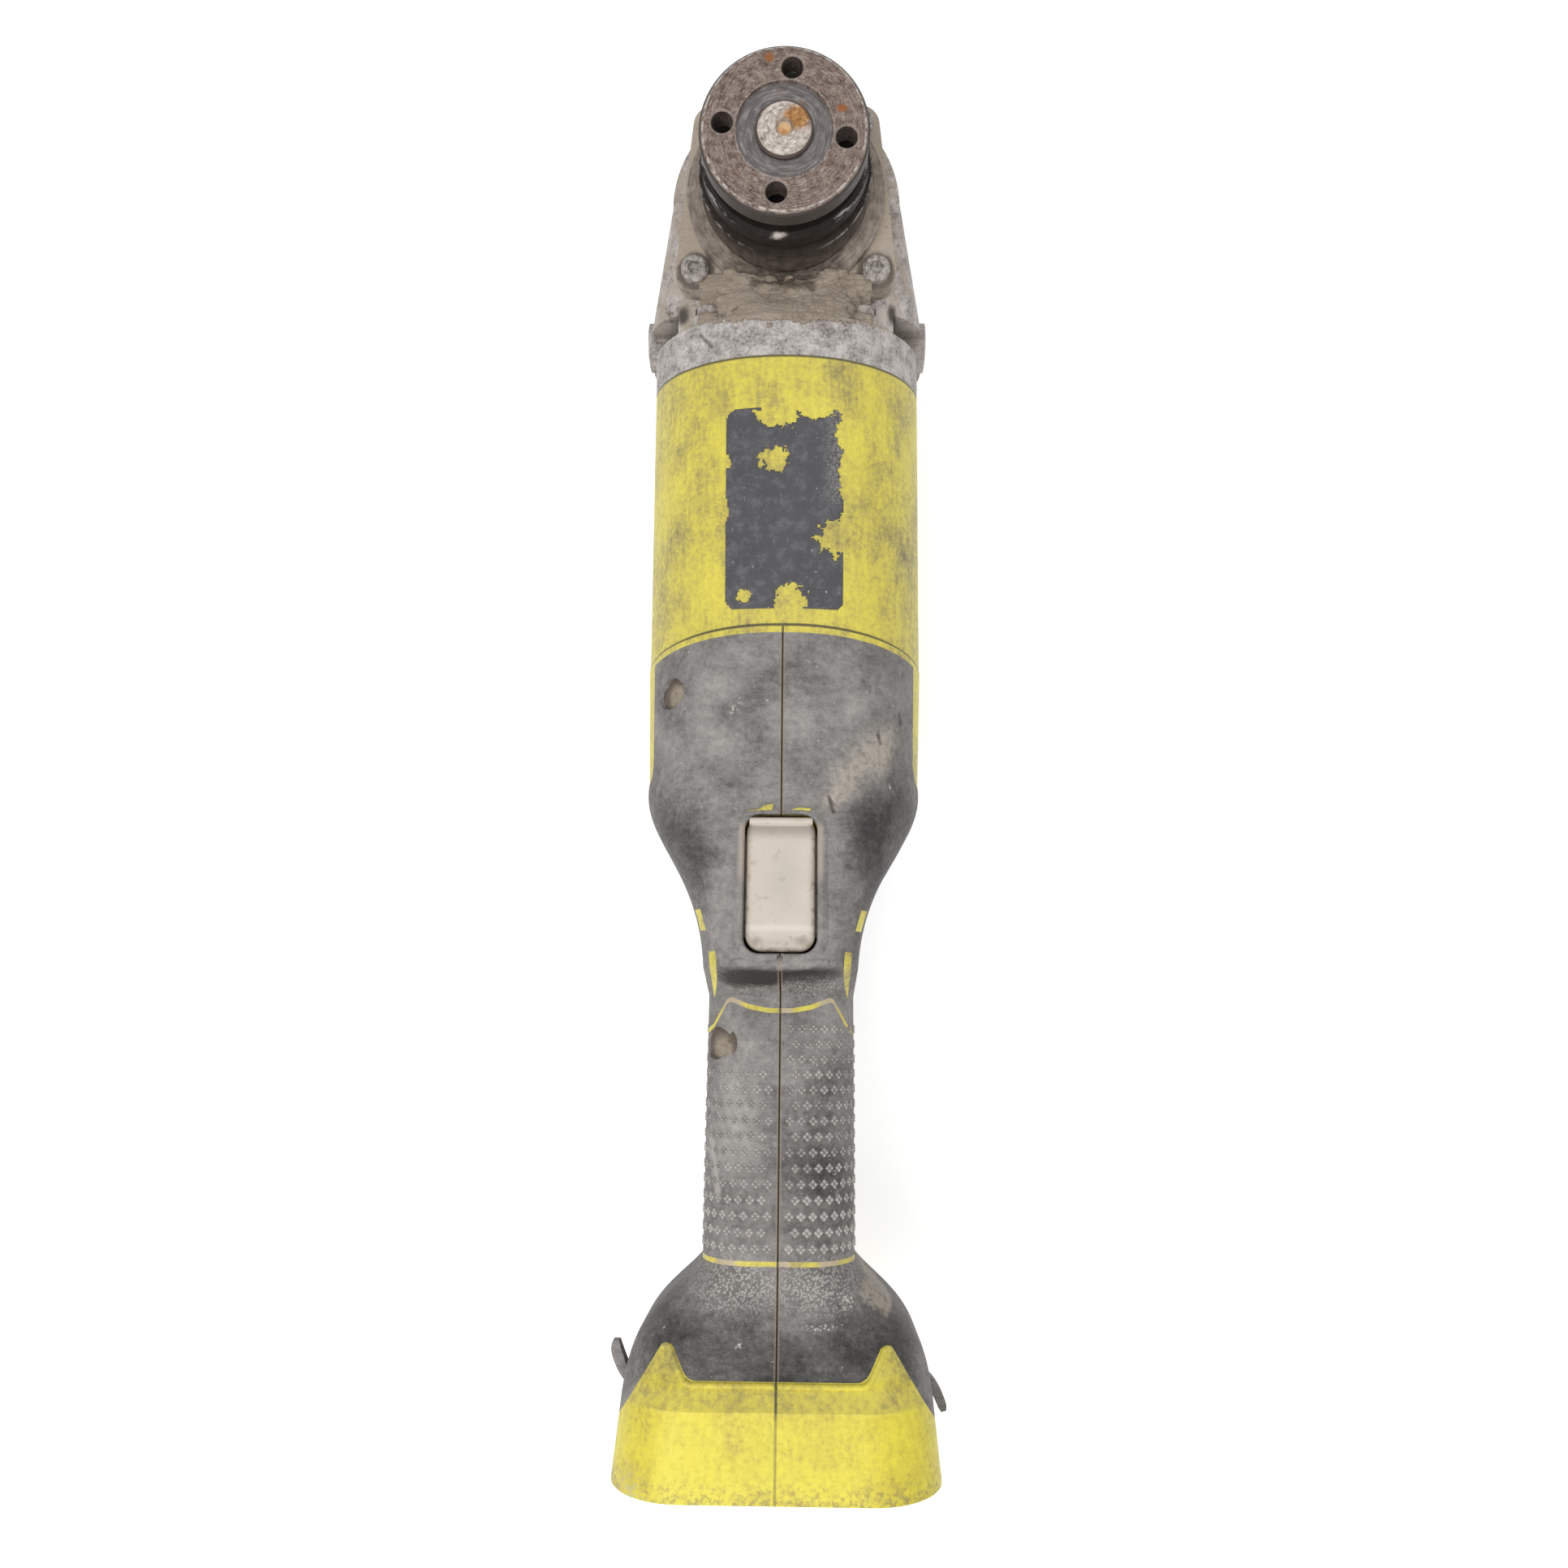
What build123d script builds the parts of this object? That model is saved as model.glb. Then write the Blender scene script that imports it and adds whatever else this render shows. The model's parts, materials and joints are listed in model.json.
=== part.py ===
from build123d import *
import os
from math import acos, atan2, cos, pi, radians, sin, sqrt, tan

os.makedirs("parts", exist_ok=True)

# Cordless angle grinder, lying on its back, in millimetres.
# The origin is on the spindle axis at the wheel seat. +Z runs out along the spindle,
# +Y points to the nose of the gear case, and the handle runs towards -Y.

# Driving dimensions: spindle line
thread_d = 14.0
thread_reach = 10.3
tip_chamfer = 1.0
tip_dimple_d = 4.0
tip_hole_r = 0.6
tip_hole_depth = 3.0
shoulder_d = 17.0
gear_seat_d = 12.0
journal_d = 8.0
flange_d = 42.0
flange_t = 6.0
flange_chamfer = 1.2
pilot_d = 22.2
pilot_h = 3.5
nut_d = 41.0
nut_plate_t = 6.0
nut_chamfer = 1.0
nut_recess_d = 23.3
nut_recess_depth = 1.0
pin_hole_d = 5.2
pin_hole_chamfer = 0.4
pin_hole_pcd = 30.0
pin_hole_turn = -7.0

# Driving dimensions: bearing cover
collar_d = 44.0
collar_h = 10.5
collar_gap = 1.5
collar_bore_d = 31.0
collar_groove_w = 3.0
collar_groove_depth = 0.8
base_ring_d = 52.0
base_ring_h = 3.0
base_ring_step = 0.6
plate_t = 5.0
cover_screw_x = 24.0
upper_screw_x = 19.4
cover_screw_y = 19.5
lug_r = 5.35
screw_d = 4.0
screw_head_d = 7.2
screw_head_h = 2.6
socket_r = 1.9
cover_screw_depth = 12.0
spigot_h = 4.0
bearing_wall = 3.5
snap_ring_t = 1.2
snap_ring_depth = 0.8
snap_ring_gap = 4.0
pocket_lip = 1.2
bearing_recess = 1.0
seal_t = 4.0
seal_lip = 3.0

# Driving dimensions: gear case
motor_drop = 27.0
nose_r = 30.6
nose_fillet = 8.0
head_flange_t = 8.0
case_wall = 6.6
case_step = 4.0
shoulder_start = 7.4
shoulder_start_half_w = 30.6
shoulder_half_w = 39.6
band_front = -33.0
band_len = 11.0
shoulder_inset = 0.6
shoulder_front_fillet = 20.0
shoulder_back_fillet = 25.0
side_boss_r = 6.8
side_boss_x = 40.0
side_boss_y = -27.0
side_boss_len = 16.0
side_thread_r = 4.0
side_thread_depth = 17.0
case_screw_r = 33.2
case_screw_angle = 52.0
case_screw_boss_r = 4.6
case_screw_len = 24.0
boss_proud = 3.0
plate_bore_len = 22.0
exhaust_inner_r = 27.6
exhaust_outer_r = 33.0
exhaust_from = 14.0
exhaust_span = 26.0
exhaust_pocket_y = 5.0

# Driving dimensions: bevel gears
gear_module = 1.2
pinion_teeth = 12
ring_teeth = 37
gear_face_w = 6.5
pinion_addendum = 1.3
ring_addendum = 0.76
root_clearance = 0.3
backlash = 0.3
pressure_angle = 20.0
ring_back_t = 3.6
ring_hub_r = 8.5
pinion_hub_r = 5.8
pinion_bore_d = 6.0
lock_hole_r = 3.2
lock_hole_pitch_r = 12.2

# Driving dimensions: spindle lock
lock_pin_d = 5.4
lock_travel = 4.5
lock_pin_gap = 1.2
button_d = 15.0
button_t = 4.0
button_rise = 2.6
button_gap = 0.4
lock_boss_r = 10.5
lock_boss_inset = 1.0
lock_guide_len = 10.0
lock_spring_turns = 4
bush_d = 12.0
bush_len = 9.0
bush_wall = 3.0

# Driving dimensions: barrel and motor
barrel_r = 38.0
barrel_rear_r = 39.2
barrel_back = 33.0
barrel_front_fillet = 37.4
barrel_back_fillet = 24.0
barrel_wall = 3.0
joint_y = -126.3
joint_tilt = 17.0
rear_tail = 20.0
can_r = 28.0
can_wall = 2.5
can_gap = 5.0
can_len = 58.0
can_rib_w = 4.0
can_rib_inset = 4.0
can_rib_turn = 22.5
magnet_t = 5.0
magnet_gap_w = 7.0
magnet_end_gap = 8.0
air_gap = 0.7
core_len = 36.0
slot_count = 12
slot_w = 3.0
slot_depth = 8.0
wire_gap = 0.2
winding_len = 5.0
winding_gap = 0.4
commutator_r = 10.0
commutator_bars = 24
shaft_d = 10.0
shaft_rear_d = 8.0
plate_disc_t = 4.0
plate_disc_r = 27.0
plate_lip = 1.6
fan_gap = 2.0
fan_r = 27.0
fan_len = 9.0
fan_disc_t = 1.8
fan_blade_t = 1.4
fan_blades = 13
fan_hub_r = 9.0
brush_plate_t = 4.0
brush_w = 6.0
brush_t = 6.5
brush_len = 11.0
brush_holder_wall = 1.0
brush_spring_len = 6.0
brush_spring_turns = 4

# Driving dimensions: ball bearings, bore, outside and width
spindle_bearing_size = (15.0, 35.0, 11.0)
front_bearing_size = (10.0, 26.0, 8.0)
rear_bearing_size = (8.0, 22.0, 7.0)
ball_share = 0.3
ball_clearance = 0.06
ball_pitch = 1.6
race_land = 0.36

# Driving dimensions: handle, measured along its own axis from the bend and out towards the front
bend_y = -135.0
handle_tilt = 12.5
rim_along = 196.0
step_along = 75.0
step_front = 36.0
step_len = 6.5
step_side = 0.6
grip_half_w = 19.4
grip_front = 21.8
grip_back = 22.0
grip_front_fillet = 13.0
grip_back_fillet = 15.0
rim_half_w = 40.0
rim_depth = 31.0
rim_front_fillet = 18.0
rubber_t = 1.6
rubber_seam = 0.4
shell_wall = 2.0
joint_lip = 2.0
stripe_w = 1.2
palm_end = 146.0
vent_window_along = 4.5
vent_window_out = 0.4
vent_window_len = 41.0
vent_window_h = 38.8
window_corner = 6.0
vent_along = 6.0
vent_out = -3.0
vent_count = 5
vent_pitch = 5.0
vent_len = 22.0
vent_w = 2.4
zone_size = 240.0

# Sections of the neck: place along the handle, half width, front, back, front and back fillets.
# Sections of the foot: distance before the rim, share of the rim's width and of its depth,
# with a crease at the last of them.
neck_sections = [
    (24.0, 37.5, 38.2, 29.2, 30.0, 21.8),
    (38.0, 34.4, 37.3, 26.6, 24.0, 20.0),
    (51.0, 27.0, 36.7, 24.4, 17.0, 18.0),
    (62.0, 22.3, 36.4, 23.0, 14.0, 16.0),
]
flare_sections = [
    (42.5, 0.30, 0.06),
    (38.0, 0.53, 0.14),
    (29.5, 0.80, 0.42),
    (19.0, 0.91, 0.94),
]

# Edges of the rubber seen from the front, right halves: sideways, along the handle, radius of the corner.
# The palm's edge dips at the middle, and the saddle's edge leaves two shell-coloured horns.
palm_edge = [
    (3.0, 85.1, 6.0),
    (8.0, 84.2, 6.0),
    (12.7, 82.3, 1.2),
    (13.7, 82.6, 1.2),
    (17.5, 89.1, 2.0),
    (19.0, 90.2, 0.0),
]
saddle_edge = [
    (21.0, 171.2, 4.0),
    (25.2, 164.2, 1.8),
    (27.5, 164.2, 1.8),
    (36.1, 177.9, 6.0),
    (41.0, 186.0, 0.0),
]

# Bare places of the neck's rubber seen from the front, right halves: a slit and a crescent where the shell
# comes to the surface, each from a depth measured out from the handle's axis.
slit_outline = [(20.6, 60.6), (22.2, 60.6), (20.6, 66.0), (19.0, 66.0)]
slit_floor = 24.5
crescent_inner = [(16.4, 71.4), (16.0, 76.0), (17.7, 82.4)]
crescent_outer = [(17.7, 82.4), (17.8, 76.5), (18.1, 71.4)]
crescent_floor = 9.5

# Driving dimensions: trigger, lock-off and switch
trigger_along = 54.7
trigger_len = 34.0
trigger_w = 17.4
trigger_face = 37.0
trigger_depth = 7.5
trigger_wall = 2.0
trigger_flange = 1.6
trigger_gap = 0.5
trigger_corner = 4.0
trigger_travel = 5.5
plunger_d = 4.8
plunger_len = 14.0
switch_len = 26.0
switch_w = 12.0
switch_h = 18.0
trigger_spring_turns = 4
cradle_t = 4.0
cradle_pitch = 15.6
lock_off_along = 64.0
lock_off_d = 8.6
lock_off_sunk = 0.8
lock_off_edge = 0.7
lock_off_neck_d = 6.0
lock_off_waist = 12.0
lock_off_out = 2.0
lock_off_gap = 0.2
lock_window_len = 30.0
lock_window_h = 17.0

# Driving dimensions: handle screws, battery terminals and leads
handle_screw_d = 3.6
handle_head_d = 7.4
handle_head_h = 2.4
handle_recess_r = 4.2
handle_boss_r = 5.4
handle_screw_len = 17.0
handle_screw_places = [
    (2.9, 28.5, 20.0),
    (94.0, 16.5, 8.0),
    (34.0, -17.0, 8.0),
    (76.0, -13.5, 8.0),
    (118.0, -14.0, 8.0),
]
block_along = 126.0
block_len = 12.0
block_w = 24.0
block_h = 20.0
blade_len = 11.0
blade_w = 6.0
blade_t = 0.9
blade_pitch = 7.5
lead_d = 2.6
spring_wire_d = 0.8
spring_pocket = 6.0
bend_share = 0.45
battery_lead_x = 4.0
battery_lead_route = [(113.0, 2.0), (100.0, 0.5), (90.0, 3.5), (82.5, 10.5), (75.5, 14.0)]
motor_lead_x = 3.0
motor_lead_start = 29.0
motor_lead_route = [(8.0, -153.0, -34.0), (14.0, -143.5, -40.5), (16.5, -133.0, -42.5)]

# Clearances shared by all pieces
fit = 0.05
loose = 0.3

# Places of the cover screws, closer together at the nose
cover_spots = [
    (-cover_screw_x, -cover_screw_y),
    (cover_screw_x, -cover_screw_y),
    (-upper_screw_x, cover_screw_y),
    (upper_screw_x, cover_screw_y),
]

# Levels along the spindle, worked out from the sizes above
flange_bottom = -flange_t
collar_top = flange_bottom - collar_gap
ring_top = collar_top - collar_h
cover_face = ring_top - base_ring_h
case_face = cover_face - plate_t
axis_z = case_face - motor_drop
back_z = axis_z - barrel_back
case_back = back_z + case_step
bearing_top = case_face + bearing_recess
bearing_bottom = bearing_top - spindle_bearing_size[2]
band_rear = band_front - band_len
cavity_r = nose_r - case_wall
button_well = button_t - button_rise + lock_travel + button_gap
button_top = case_back - button_rise
well_floor = case_back + button_well
roof_inside = well_floor + loose
motor_line = Axis((0, 0, axis_z), (0, 1, 0))

# Bevel gear sizes, worked out from the tooth counts
pinion_cone = atan2(pinion_teeth, ring_teeth)
pinion_pitch_r = gear_module * pinion_teeth / 2
ring_pitch_r = gear_module * ring_teeth / 2
cone_len = sqrt(pinion_pitch_r**2 + ring_pitch_r**2)
inner_share = (cone_len - gear_face_w) / cone_len
pinion_dedendum = ring_addendum + root_clearance
ring_dedendum = pinion_addendum + root_clearance
ring_mid_z = axis_z + pinion_pitch_r


def motor_plane(y):
    """Plane square to the motor axis, its normal towards the tail and its own y upwards."""
    return Plane((0, y, axis_z), x_dir=(1, 0, 0), z_dir=(0, -1, 0))


def flat_backed(half_w, front, back, front_fillet, back_fillet, mode=Mode.ADD):
    """Section of the body: round in front, flatter at the back."""
    with BuildSketch(mode=Mode.PRIVATE) as outline:
        with Locations((0, (front - back) / 2)):
            Rectangle(2 * half_w, front + back)
        fillet(outline.vertices().group_by(Axis.Y)[-1], front_fillet)
        fillet(outline.vertices().group_by(Axis.Y)[0], back_fillet)
    add(outline.sketch_local, mode=mode)


def barrel_section(radius, inset=0.0, mode=Mode.ADD, skim=0.0):
    """Section of the barrel, drawn in by inset, and left proud at the back by skim."""
    flat_backed(
        radius - inset,
        radius - inset,
        barrel_back + skim - inset,
        barrel_front_fillet - inset,
        barrel_back_fillet - inset,
        mode,
    )


def ring_sector(inner_r, outer_r, start, span):
    """Part of a flat ring, between two angles."""
    with BuildSketch(mode=Mode.PRIVATE) as sector:
        with BuildLine():
            far = CenterArc((0, 0), outer_r, start, span)
            near = CenterArc((0, 0), inner_r, start, span)
            Line(far @ 0, near @ 0)
            Line(far @ 1, near @ 1)
        make_face()
    add(sector.sketch_local)


def ring(plane, outer_d, inner_d, width):
    """Plain ring centred on a plane."""
    with BuildPart(plane) as made:
        Cylinder(outer_d / 2, width)
        Cylinder(inner_d / 2, width, mode=Mode.SUBTRACT)
    return made.part


def ball_sizes(size):
    """Pitch radius and ball radius of a bearing."""
    bore, outer, width = size
    return (bore + outer) / 4, ball_share * (outer - bore) / 2


def outer_race(plane, size):
    """Outer race of a ball bearing, centred on a plane."""
    pitch_r, ball_r = ball_sizes(size)
    with BuildPart(plane) as made:
        Cylinder(size[1] / 2 - fit, size[2])
        Cylinder(pitch_r + 2 * race_land * ball_r, size[2], mode=Mode.SUBTRACT)
        Torus(pitch_r, ball_r + ball_clearance, mode=Mode.SUBTRACT)
    return made.part


def inner_race(plane, size):
    """Inner race of a ball bearing, centred on a plane."""
    pitch_r, ball_r = ball_sizes(size)
    with BuildPart(plane) as made:
        Cylinder(pitch_r - 2 * race_land * ball_r, size[2])
        Cylinder(size[0] / 2 + fit, size[2], mode=Mode.SUBTRACT)
        Torus(pitch_r, ball_r + ball_clearance, mode=Mode.SUBTRACT)
    return made.part


def ball_set(plane, size):
    """Balls of a bearing, as many as fit with a cage between them."""
    pitch_r, ball_r = ball_sizes(size)
    count = int(pi * pitch_r / (ball_pitch * ball_r))
    with BuildPart(plane) as made:
        with PolarLocations(pitch_r, count):
            Sphere(ball_r)
    return made.part


def spring(start, axis, radius, length, turns):
    """Coil spring from a start point along an axis, its turns made of pairs of tangent arcs."""
    base = Plane(start, z_dir=axis)
    rise = length - spring_wire_d
    quarters = 4 * turns
    lean = rise / (turns * 2 * pi * radius)

    def point(i):
        turn = i * pi / 2
        return base.from_local_coords(
            Vector(radius * cos(turn), radius * sin(turn), spring_wire_d / 2 + rise * i / quarters)
        )

    def heading(i):
        turn = i * pi / 2
        ahead = base.x_dir * -sin(turn) + base.y_dir * cos(turn) + base.z_dir * lean
        return ahead.normalized()

    with BuildPart() as made:
        with BuildLine() as path:
            for i in range(quarters):
                p0, p1, t0, t1 = point(i), point(i + 1), heading(i), heading(i + 1)
                span = p1 - p0
                both = span.dot(t0 + t1)
                bend = 2 * (1 - t0.dot(t1))
                reach = (sqrt(both**2 + bend * span.dot(span)) - both) / bend
                middle = (p0 + t0 * reach + p1 - t1 * reach) * 0.5
                TangentArc(p0, middle, tangent=t0)
                TangentArc(middle, p1, tangent=p1 - t1 * reach - p0 - t0 * reach)
        with BuildSketch(Plane(point(0), z_dir=heading(0))):
            Circle(spring_wire_d / 2)
        sweep(path=path.wires()[0])
    return made.part


def involute_half_angle(r, pitch_r):
    """Half the tooth's angle at radius r on a gear of this pitch radius, with backlash taken off."""
    base_r = pitch_r * cos(radians(pressure_angle))
    at_pitch = (pi * gear_module / 2 - backlash) / (2 * pitch_r)
    lean = acos(base_r / max(r, base_r))
    return at_pitch + tan(radians(pressure_angle)) - radians(pressure_angle) - tan(lean) + lean


def bevel_tooth(x_dir, cone, addendum, dedendum):
    """One straight bevel tooth on the shared cone line, its section shrinking towards the apex."""
    along = Vector(0, -cos(pinion_cone), sin(pinion_cone))
    apex = Vector(0, 0, axis_z)
    pitch_r = cone_len * tan(cone)
    sink = gear_module / 2
    base_r = pitch_r * cos(radians(pressure_angle))
    rooted = [pitch_r - dedendum - sink, max(base_r, pitch_r - dedendum), pitch_r]
    radii = rooted + [pitch_r + addendum / 2, pitch_r + addendum]
    flank = [(r * sin(involute_half_angle(r, pitch_r)), r * cos(involute_half_angle(r, pitch_r)) - pitch_r)
             for r in radii]
    outline = flank + [(-u, v) for u, v in reversed(flank)]
    with BuildPart() as made:
        for share in (1.0, inner_share):
            with BuildSketch(Plane(apex + along * (cone_len * share), x_dir=x_dir, z_dir=along)):
                with BuildLine():
                    Polyline(*[(u * share, v * share) for u, v in outline], close=True)
                make_face()
        loft(ruled=True)
    return made.part


# Spindle: threaded end, shoulder under the flange, bearing seat, gear seat and end journal
journal_bottom = roof_inside + loose
gear_seat_bottom = ring_mid_z - 2 * gear_module
with BuildPart() as spindle:
    with BuildSketch(Plane.YZ):
        with BuildLine():
            Polyline(
                (0, thread_reach),
                (thread_d / 2 - tip_chamfer, thread_reach),
                (thread_d / 2, thread_reach - tip_chamfer),
                (thread_d / 2, flange_bottom),
                (shoulder_d / 2, flange_bottom),
                (shoulder_d / 2, bearing_top),
                (spindle_bearing_size[0] / 2, bearing_top),
                (spindle_bearing_size[0] / 2, bearing_bottom),
                (gear_seat_d / 2, bearing_bottom),
                (gear_seat_d / 2, gear_seat_bottom),
                (journal_d / 2, gear_seat_bottom),
                (journal_d / 2, journal_bottom + tip_chamfer),
                (journal_d / 2 - tip_chamfer, journal_bottom),
                (0, journal_bottom),
                close=True,
            )
        make_face()
    revolve(axis=Axis.Z)
    with Locations((0, 0, thread_reach)):
        CounterSinkHole(tip_hole_r, tip_dimple_d / 2, depth=tip_hole_depth, counter_sink_angle=60)
spindle.part.label = "spindle"
export_step(spindle.part, "parts/spindle.step")

# Inner flange: the disc whose outer face is the wheel seat, and the pilot that centres the wheel
with BuildPart() as inner_flange:
    with BuildSketch(Plane.XY.offset(flange_bottom)):
        Circle(flange_d / 2)
        Circle(thread_d / 2 + fit, mode=Mode.SUBTRACT)
    extrude(amount=flange_t)
    chamfer(inner_flange.edges().filter_by(GeomType.CIRCLE).group_by(SortBy.RADIUS)[-1], flange_chamfer)
    with BuildSketch():
        Circle(pilot_d / 2)
        Circle(thread_d / 2 + fit, mode=Mode.SUBTRACT)
    extrude(amount=pilot_h)
inner_flange.part.label = "inner_flange"
export_step(inner_flange.part, "parts/inner_flange.step")

# Flange nut: plate with four pin holes and a ring recess, screwed down on the pilot
nut_top = pilot_h + nut_plate_t
with BuildPart() as flange_nut:
    with BuildSketch(Plane.XY.offset(pilot_h)):
        Circle(nut_d / 2)
    extrude(amount=nut_plate_t)
    chamfer(flange_nut.edges().filter_by(GeomType.CIRCLE).group_by(SortBy.RADIUS)[-1], nut_chamfer)
    with BuildSketch(Plane.XY.offset(nut_top)):
        Circle(nut_recess_d / 2)
    extrude(amount=-nut_recess_depth, mode=Mode.SUBTRACT)
    with Locations(Plane.XY.offset(nut_top)):
        with PolarLocations(pin_hole_pcd / 2, 4, start_angle=pin_hole_turn):
            CounterSinkHole(pin_hole_d / 2, pin_hole_d / 2 + pin_hole_chamfer, nut_plate_t)
    with BuildSketch(Plane.XY.offset(nut_top)):
        Circle(thread_d / 2 + fit)
    extrude(amount=-nut_plate_t, mode=Mode.SUBTRACT)
flange_nut.part.label = "flange_nut"
export_step(flange_nut.part, "parts/flange_nut.step")

# Bearing cover: lugged plate, base ring, guard collar, and the bearing's pocket below
pocket_r = spindle_bearing_size[1] / 2
pocket_bottom = bearing_bottom - snap_ring_t - pocket_lip
with BuildPart() as bearing_cover:
    with BuildSketch(Plane.XY.offset(case_face)):
        with Locations(*cover_spots):
            Circle(lug_r)
        make_hull()
        Circle(base_ring_d / 2 + base_ring_step)
    extrude(amount=plate_t)
    with BuildSketch(Plane.XY.offset(cover_face)):
        Circle(base_ring_d / 2)
    extrude(amount=base_ring_h)
    with BuildSketch(Plane.XY.offset(ring_top)):
        Circle(collar_d / 2)
    extrude(amount=collar_h)
    with BuildSketch(Plane.XY.offset(ring_top)):
        Circle(collar_d / 2)
        Circle(collar_d / 2 - collar_groove_depth, mode=Mode.SUBTRACT)
    extrude(amount=collar_groove_w, mode=Mode.SUBTRACT)
    with BuildSketch(Plane.XY.offset(case_face)):
        Circle(cavity_r - fit)
    extrude(amount=-spigot_h)
    with BuildSketch(Plane.XY.offset(case_face)):
        Circle(pocket_r + bearing_wall)
    extrude(amount=pocket_bottom - case_face)
    with BuildSketch(Plane.XY.offset(pocket_bottom)):
        Circle(pocket_r)
    extrude(amount=bearing_top - pocket_bottom, mode=Mode.SUBTRACT)
    with BuildSketch(Plane.XY.offset(bearing_bottom)):
        Circle(pocket_r + snap_ring_depth)
    extrude(amount=-snap_ring_t, mode=Mode.SUBTRACT)
    with BuildSketch(Plane.XY.offset(bearing_top)):
        Circle(collar_bore_d / 2 - seal_lip)
    extrude(amount=collar_top - bearing_top, mode=Mode.SUBTRACT)
    with BuildSketch(Plane.XY.offset(collar_top)):
        Circle(collar_bore_d / 2)
    extrude(amount=-seal_t, mode=Mode.SUBTRACT)
    with BuildSketch(Plane.XY.offset(cover_face)):
        with Locations(*cover_spots):
            Circle(screw_d / 2 + fit)
    extrude(amount=-plate_t, mode=Mode.SUBTRACT)
    with BuildSketch(Plane.XY.offset(cover_face)):
        with Locations(*cover_spots):
            Circle(screw_head_d / 2 + loose)
    extrude(amount=base_ring_h, mode=Mode.SUBTRACT)
bearing_cover.part.label = "bearing_cover"
export_step(bearing_cover.part, "parts/bearing_cover.step")

# Cover screws: round heads with a hexagon socket
with BuildPart() as cover_screws:
    with BuildSketch(Plane.XY.offset(cover_face)):
        with Locations(*cover_spots):
            Circle(screw_head_d / 2)
    extrude(amount=screw_head_h)
    chamfer(cover_screws.edges().group_by(Axis.Z)[-1], screw_head_h / 4)
    with BuildSketch(Plane.XY.offset(cover_face + screw_head_h)):
        with Locations(*cover_spots):
            RegularPolygon(socket_r, 6)
    extrude(amount=-screw_head_h / 2, mode=Mode.SUBTRACT)
    with BuildSketch(Plane.XY.offset(cover_face)):
        with Locations(*cover_spots):
            Circle(screw_d / 2)
    extrude(amount=-plate_t - cover_screw_depth)
cover_screws.part.label = "cover_screws"
export_step(cover_screws.part, "parts/cover_screws.step")

# Dust seal: felt ring between collar and spindle shoulder
with BuildPart() as dust_seal:
    seal_plane = Plane.XY.offset(collar_top - seal_t / 2)
    add(ring(seal_plane, collar_bore_d - 2 * fit, shoulder_d + 2 * fit, seal_t - fit))
dust_seal.part.label = "dust_seal"
export_step(dust_seal.part, "parts/dust_seal.step")

# Spindle bearing: outer race and balls in the cover, inner race on the spindle, and the snap ring
spindle_bearing_plane = Plane.XY.offset((bearing_top + bearing_bottom) / 2)
with BuildPart() as spindle_bearing_outer:
    add(outer_race(spindle_bearing_plane, spindle_bearing_size))
spindle_bearing_outer.part.label = "spindle_bearing_outer"
export_step(spindle_bearing_outer.part, "parts/spindle_bearing_outer.step")

with BuildPart() as spindle_bearing_balls:
    add(ball_set(spindle_bearing_plane, spindle_bearing_size))
spindle_bearing_balls.part.label = "spindle_bearing_balls"
export_step(spindle_bearing_balls.part, "parts/spindle_bearing_balls.step")

with BuildPart() as spindle_bearing_inner:
    add(inner_race(spindle_bearing_plane, spindle_bearing_size))
spindle_bearing_inner.part.label = "spindle_bearing_inner"
export_step(spindle_bearing_inner.part, "parts/spindle_bearing_inner.step")

with BuildPart() as snap_ring:
    with BuildSketch(Plane.XY.offset(bearing_bottom)):
        Circle(pocket_r + snap_ring_depth - fit)
        Circle(pocket_r - 2 * snap_ring_depth, mode=Mode.SUBTRACT)
        with Locations((pocket_r, 0)):
            Rectangle(8 * snap_ring_depth, snap_ring_gap, mode=Mode.SUBTRACT)
    extrude(amount=-snap_ring_t + fit)
snap_ring.part.label = "snap_ring"
export_step(snap_ring.part, "parts/snap_ring.step")

# Ring gear: hub, web with four lock holes, and the bevel teeth facing the pinion
ring_tooth = bevel_tooth((-1, 0, 0), pi / 2 - pinion_cone, ring_addendum, ring_dedendum)
ring_root_r = ring_pitch_r - ring_dedendum * sin(pinion_cone)
ring_root_rise = pinion_pitch_r + ring_dedendum * cos(pinion_cone)
ring_web_z = axis_z + ring_root_rise * inner_share
ring_back_z = axis_z + ring_root_rise + ring_back_t
with BuildPart() as ring_gear:
    with BuildSketch(Plane.YZ):
        with BuildLine():
            Polyline(
                (gear_seat_d / 2 + fit, bearing_bottom),
                (ring_hub_r, bearing_bottom),
                (ring_hub_r, ring_back_z),
                (ring_root_r + gear_module, ring_back_z),
                (ring_root_r, axis_z + ring_root_rise),
                (ring_root_r * inner_share, ring_web_z),
                (gear_seat_d / 2 + fit, ring_web_z),
                close=True,
            )
        make_face()
    revolve(axis=Axis.Z)
    add([ring_tooth.rotate(Axis.Z, (i + 0.5) * 360 / ring_teeth) for i in range(ring_teeth)])
    with BuildSketch(Plane.XY.offset(ring_back_z)):
        with PolarLocations(lock_hole_pitch_r, 4):
            Circle(lock_hole_r)
    extrude(amount=ring_web_z - ring_back_z, mode=Mode.SUBTRACT)
ring_gear.part.label = "ring_gear"
export_step(ring_gear.part, "parts/ring_gear.step")

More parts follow.
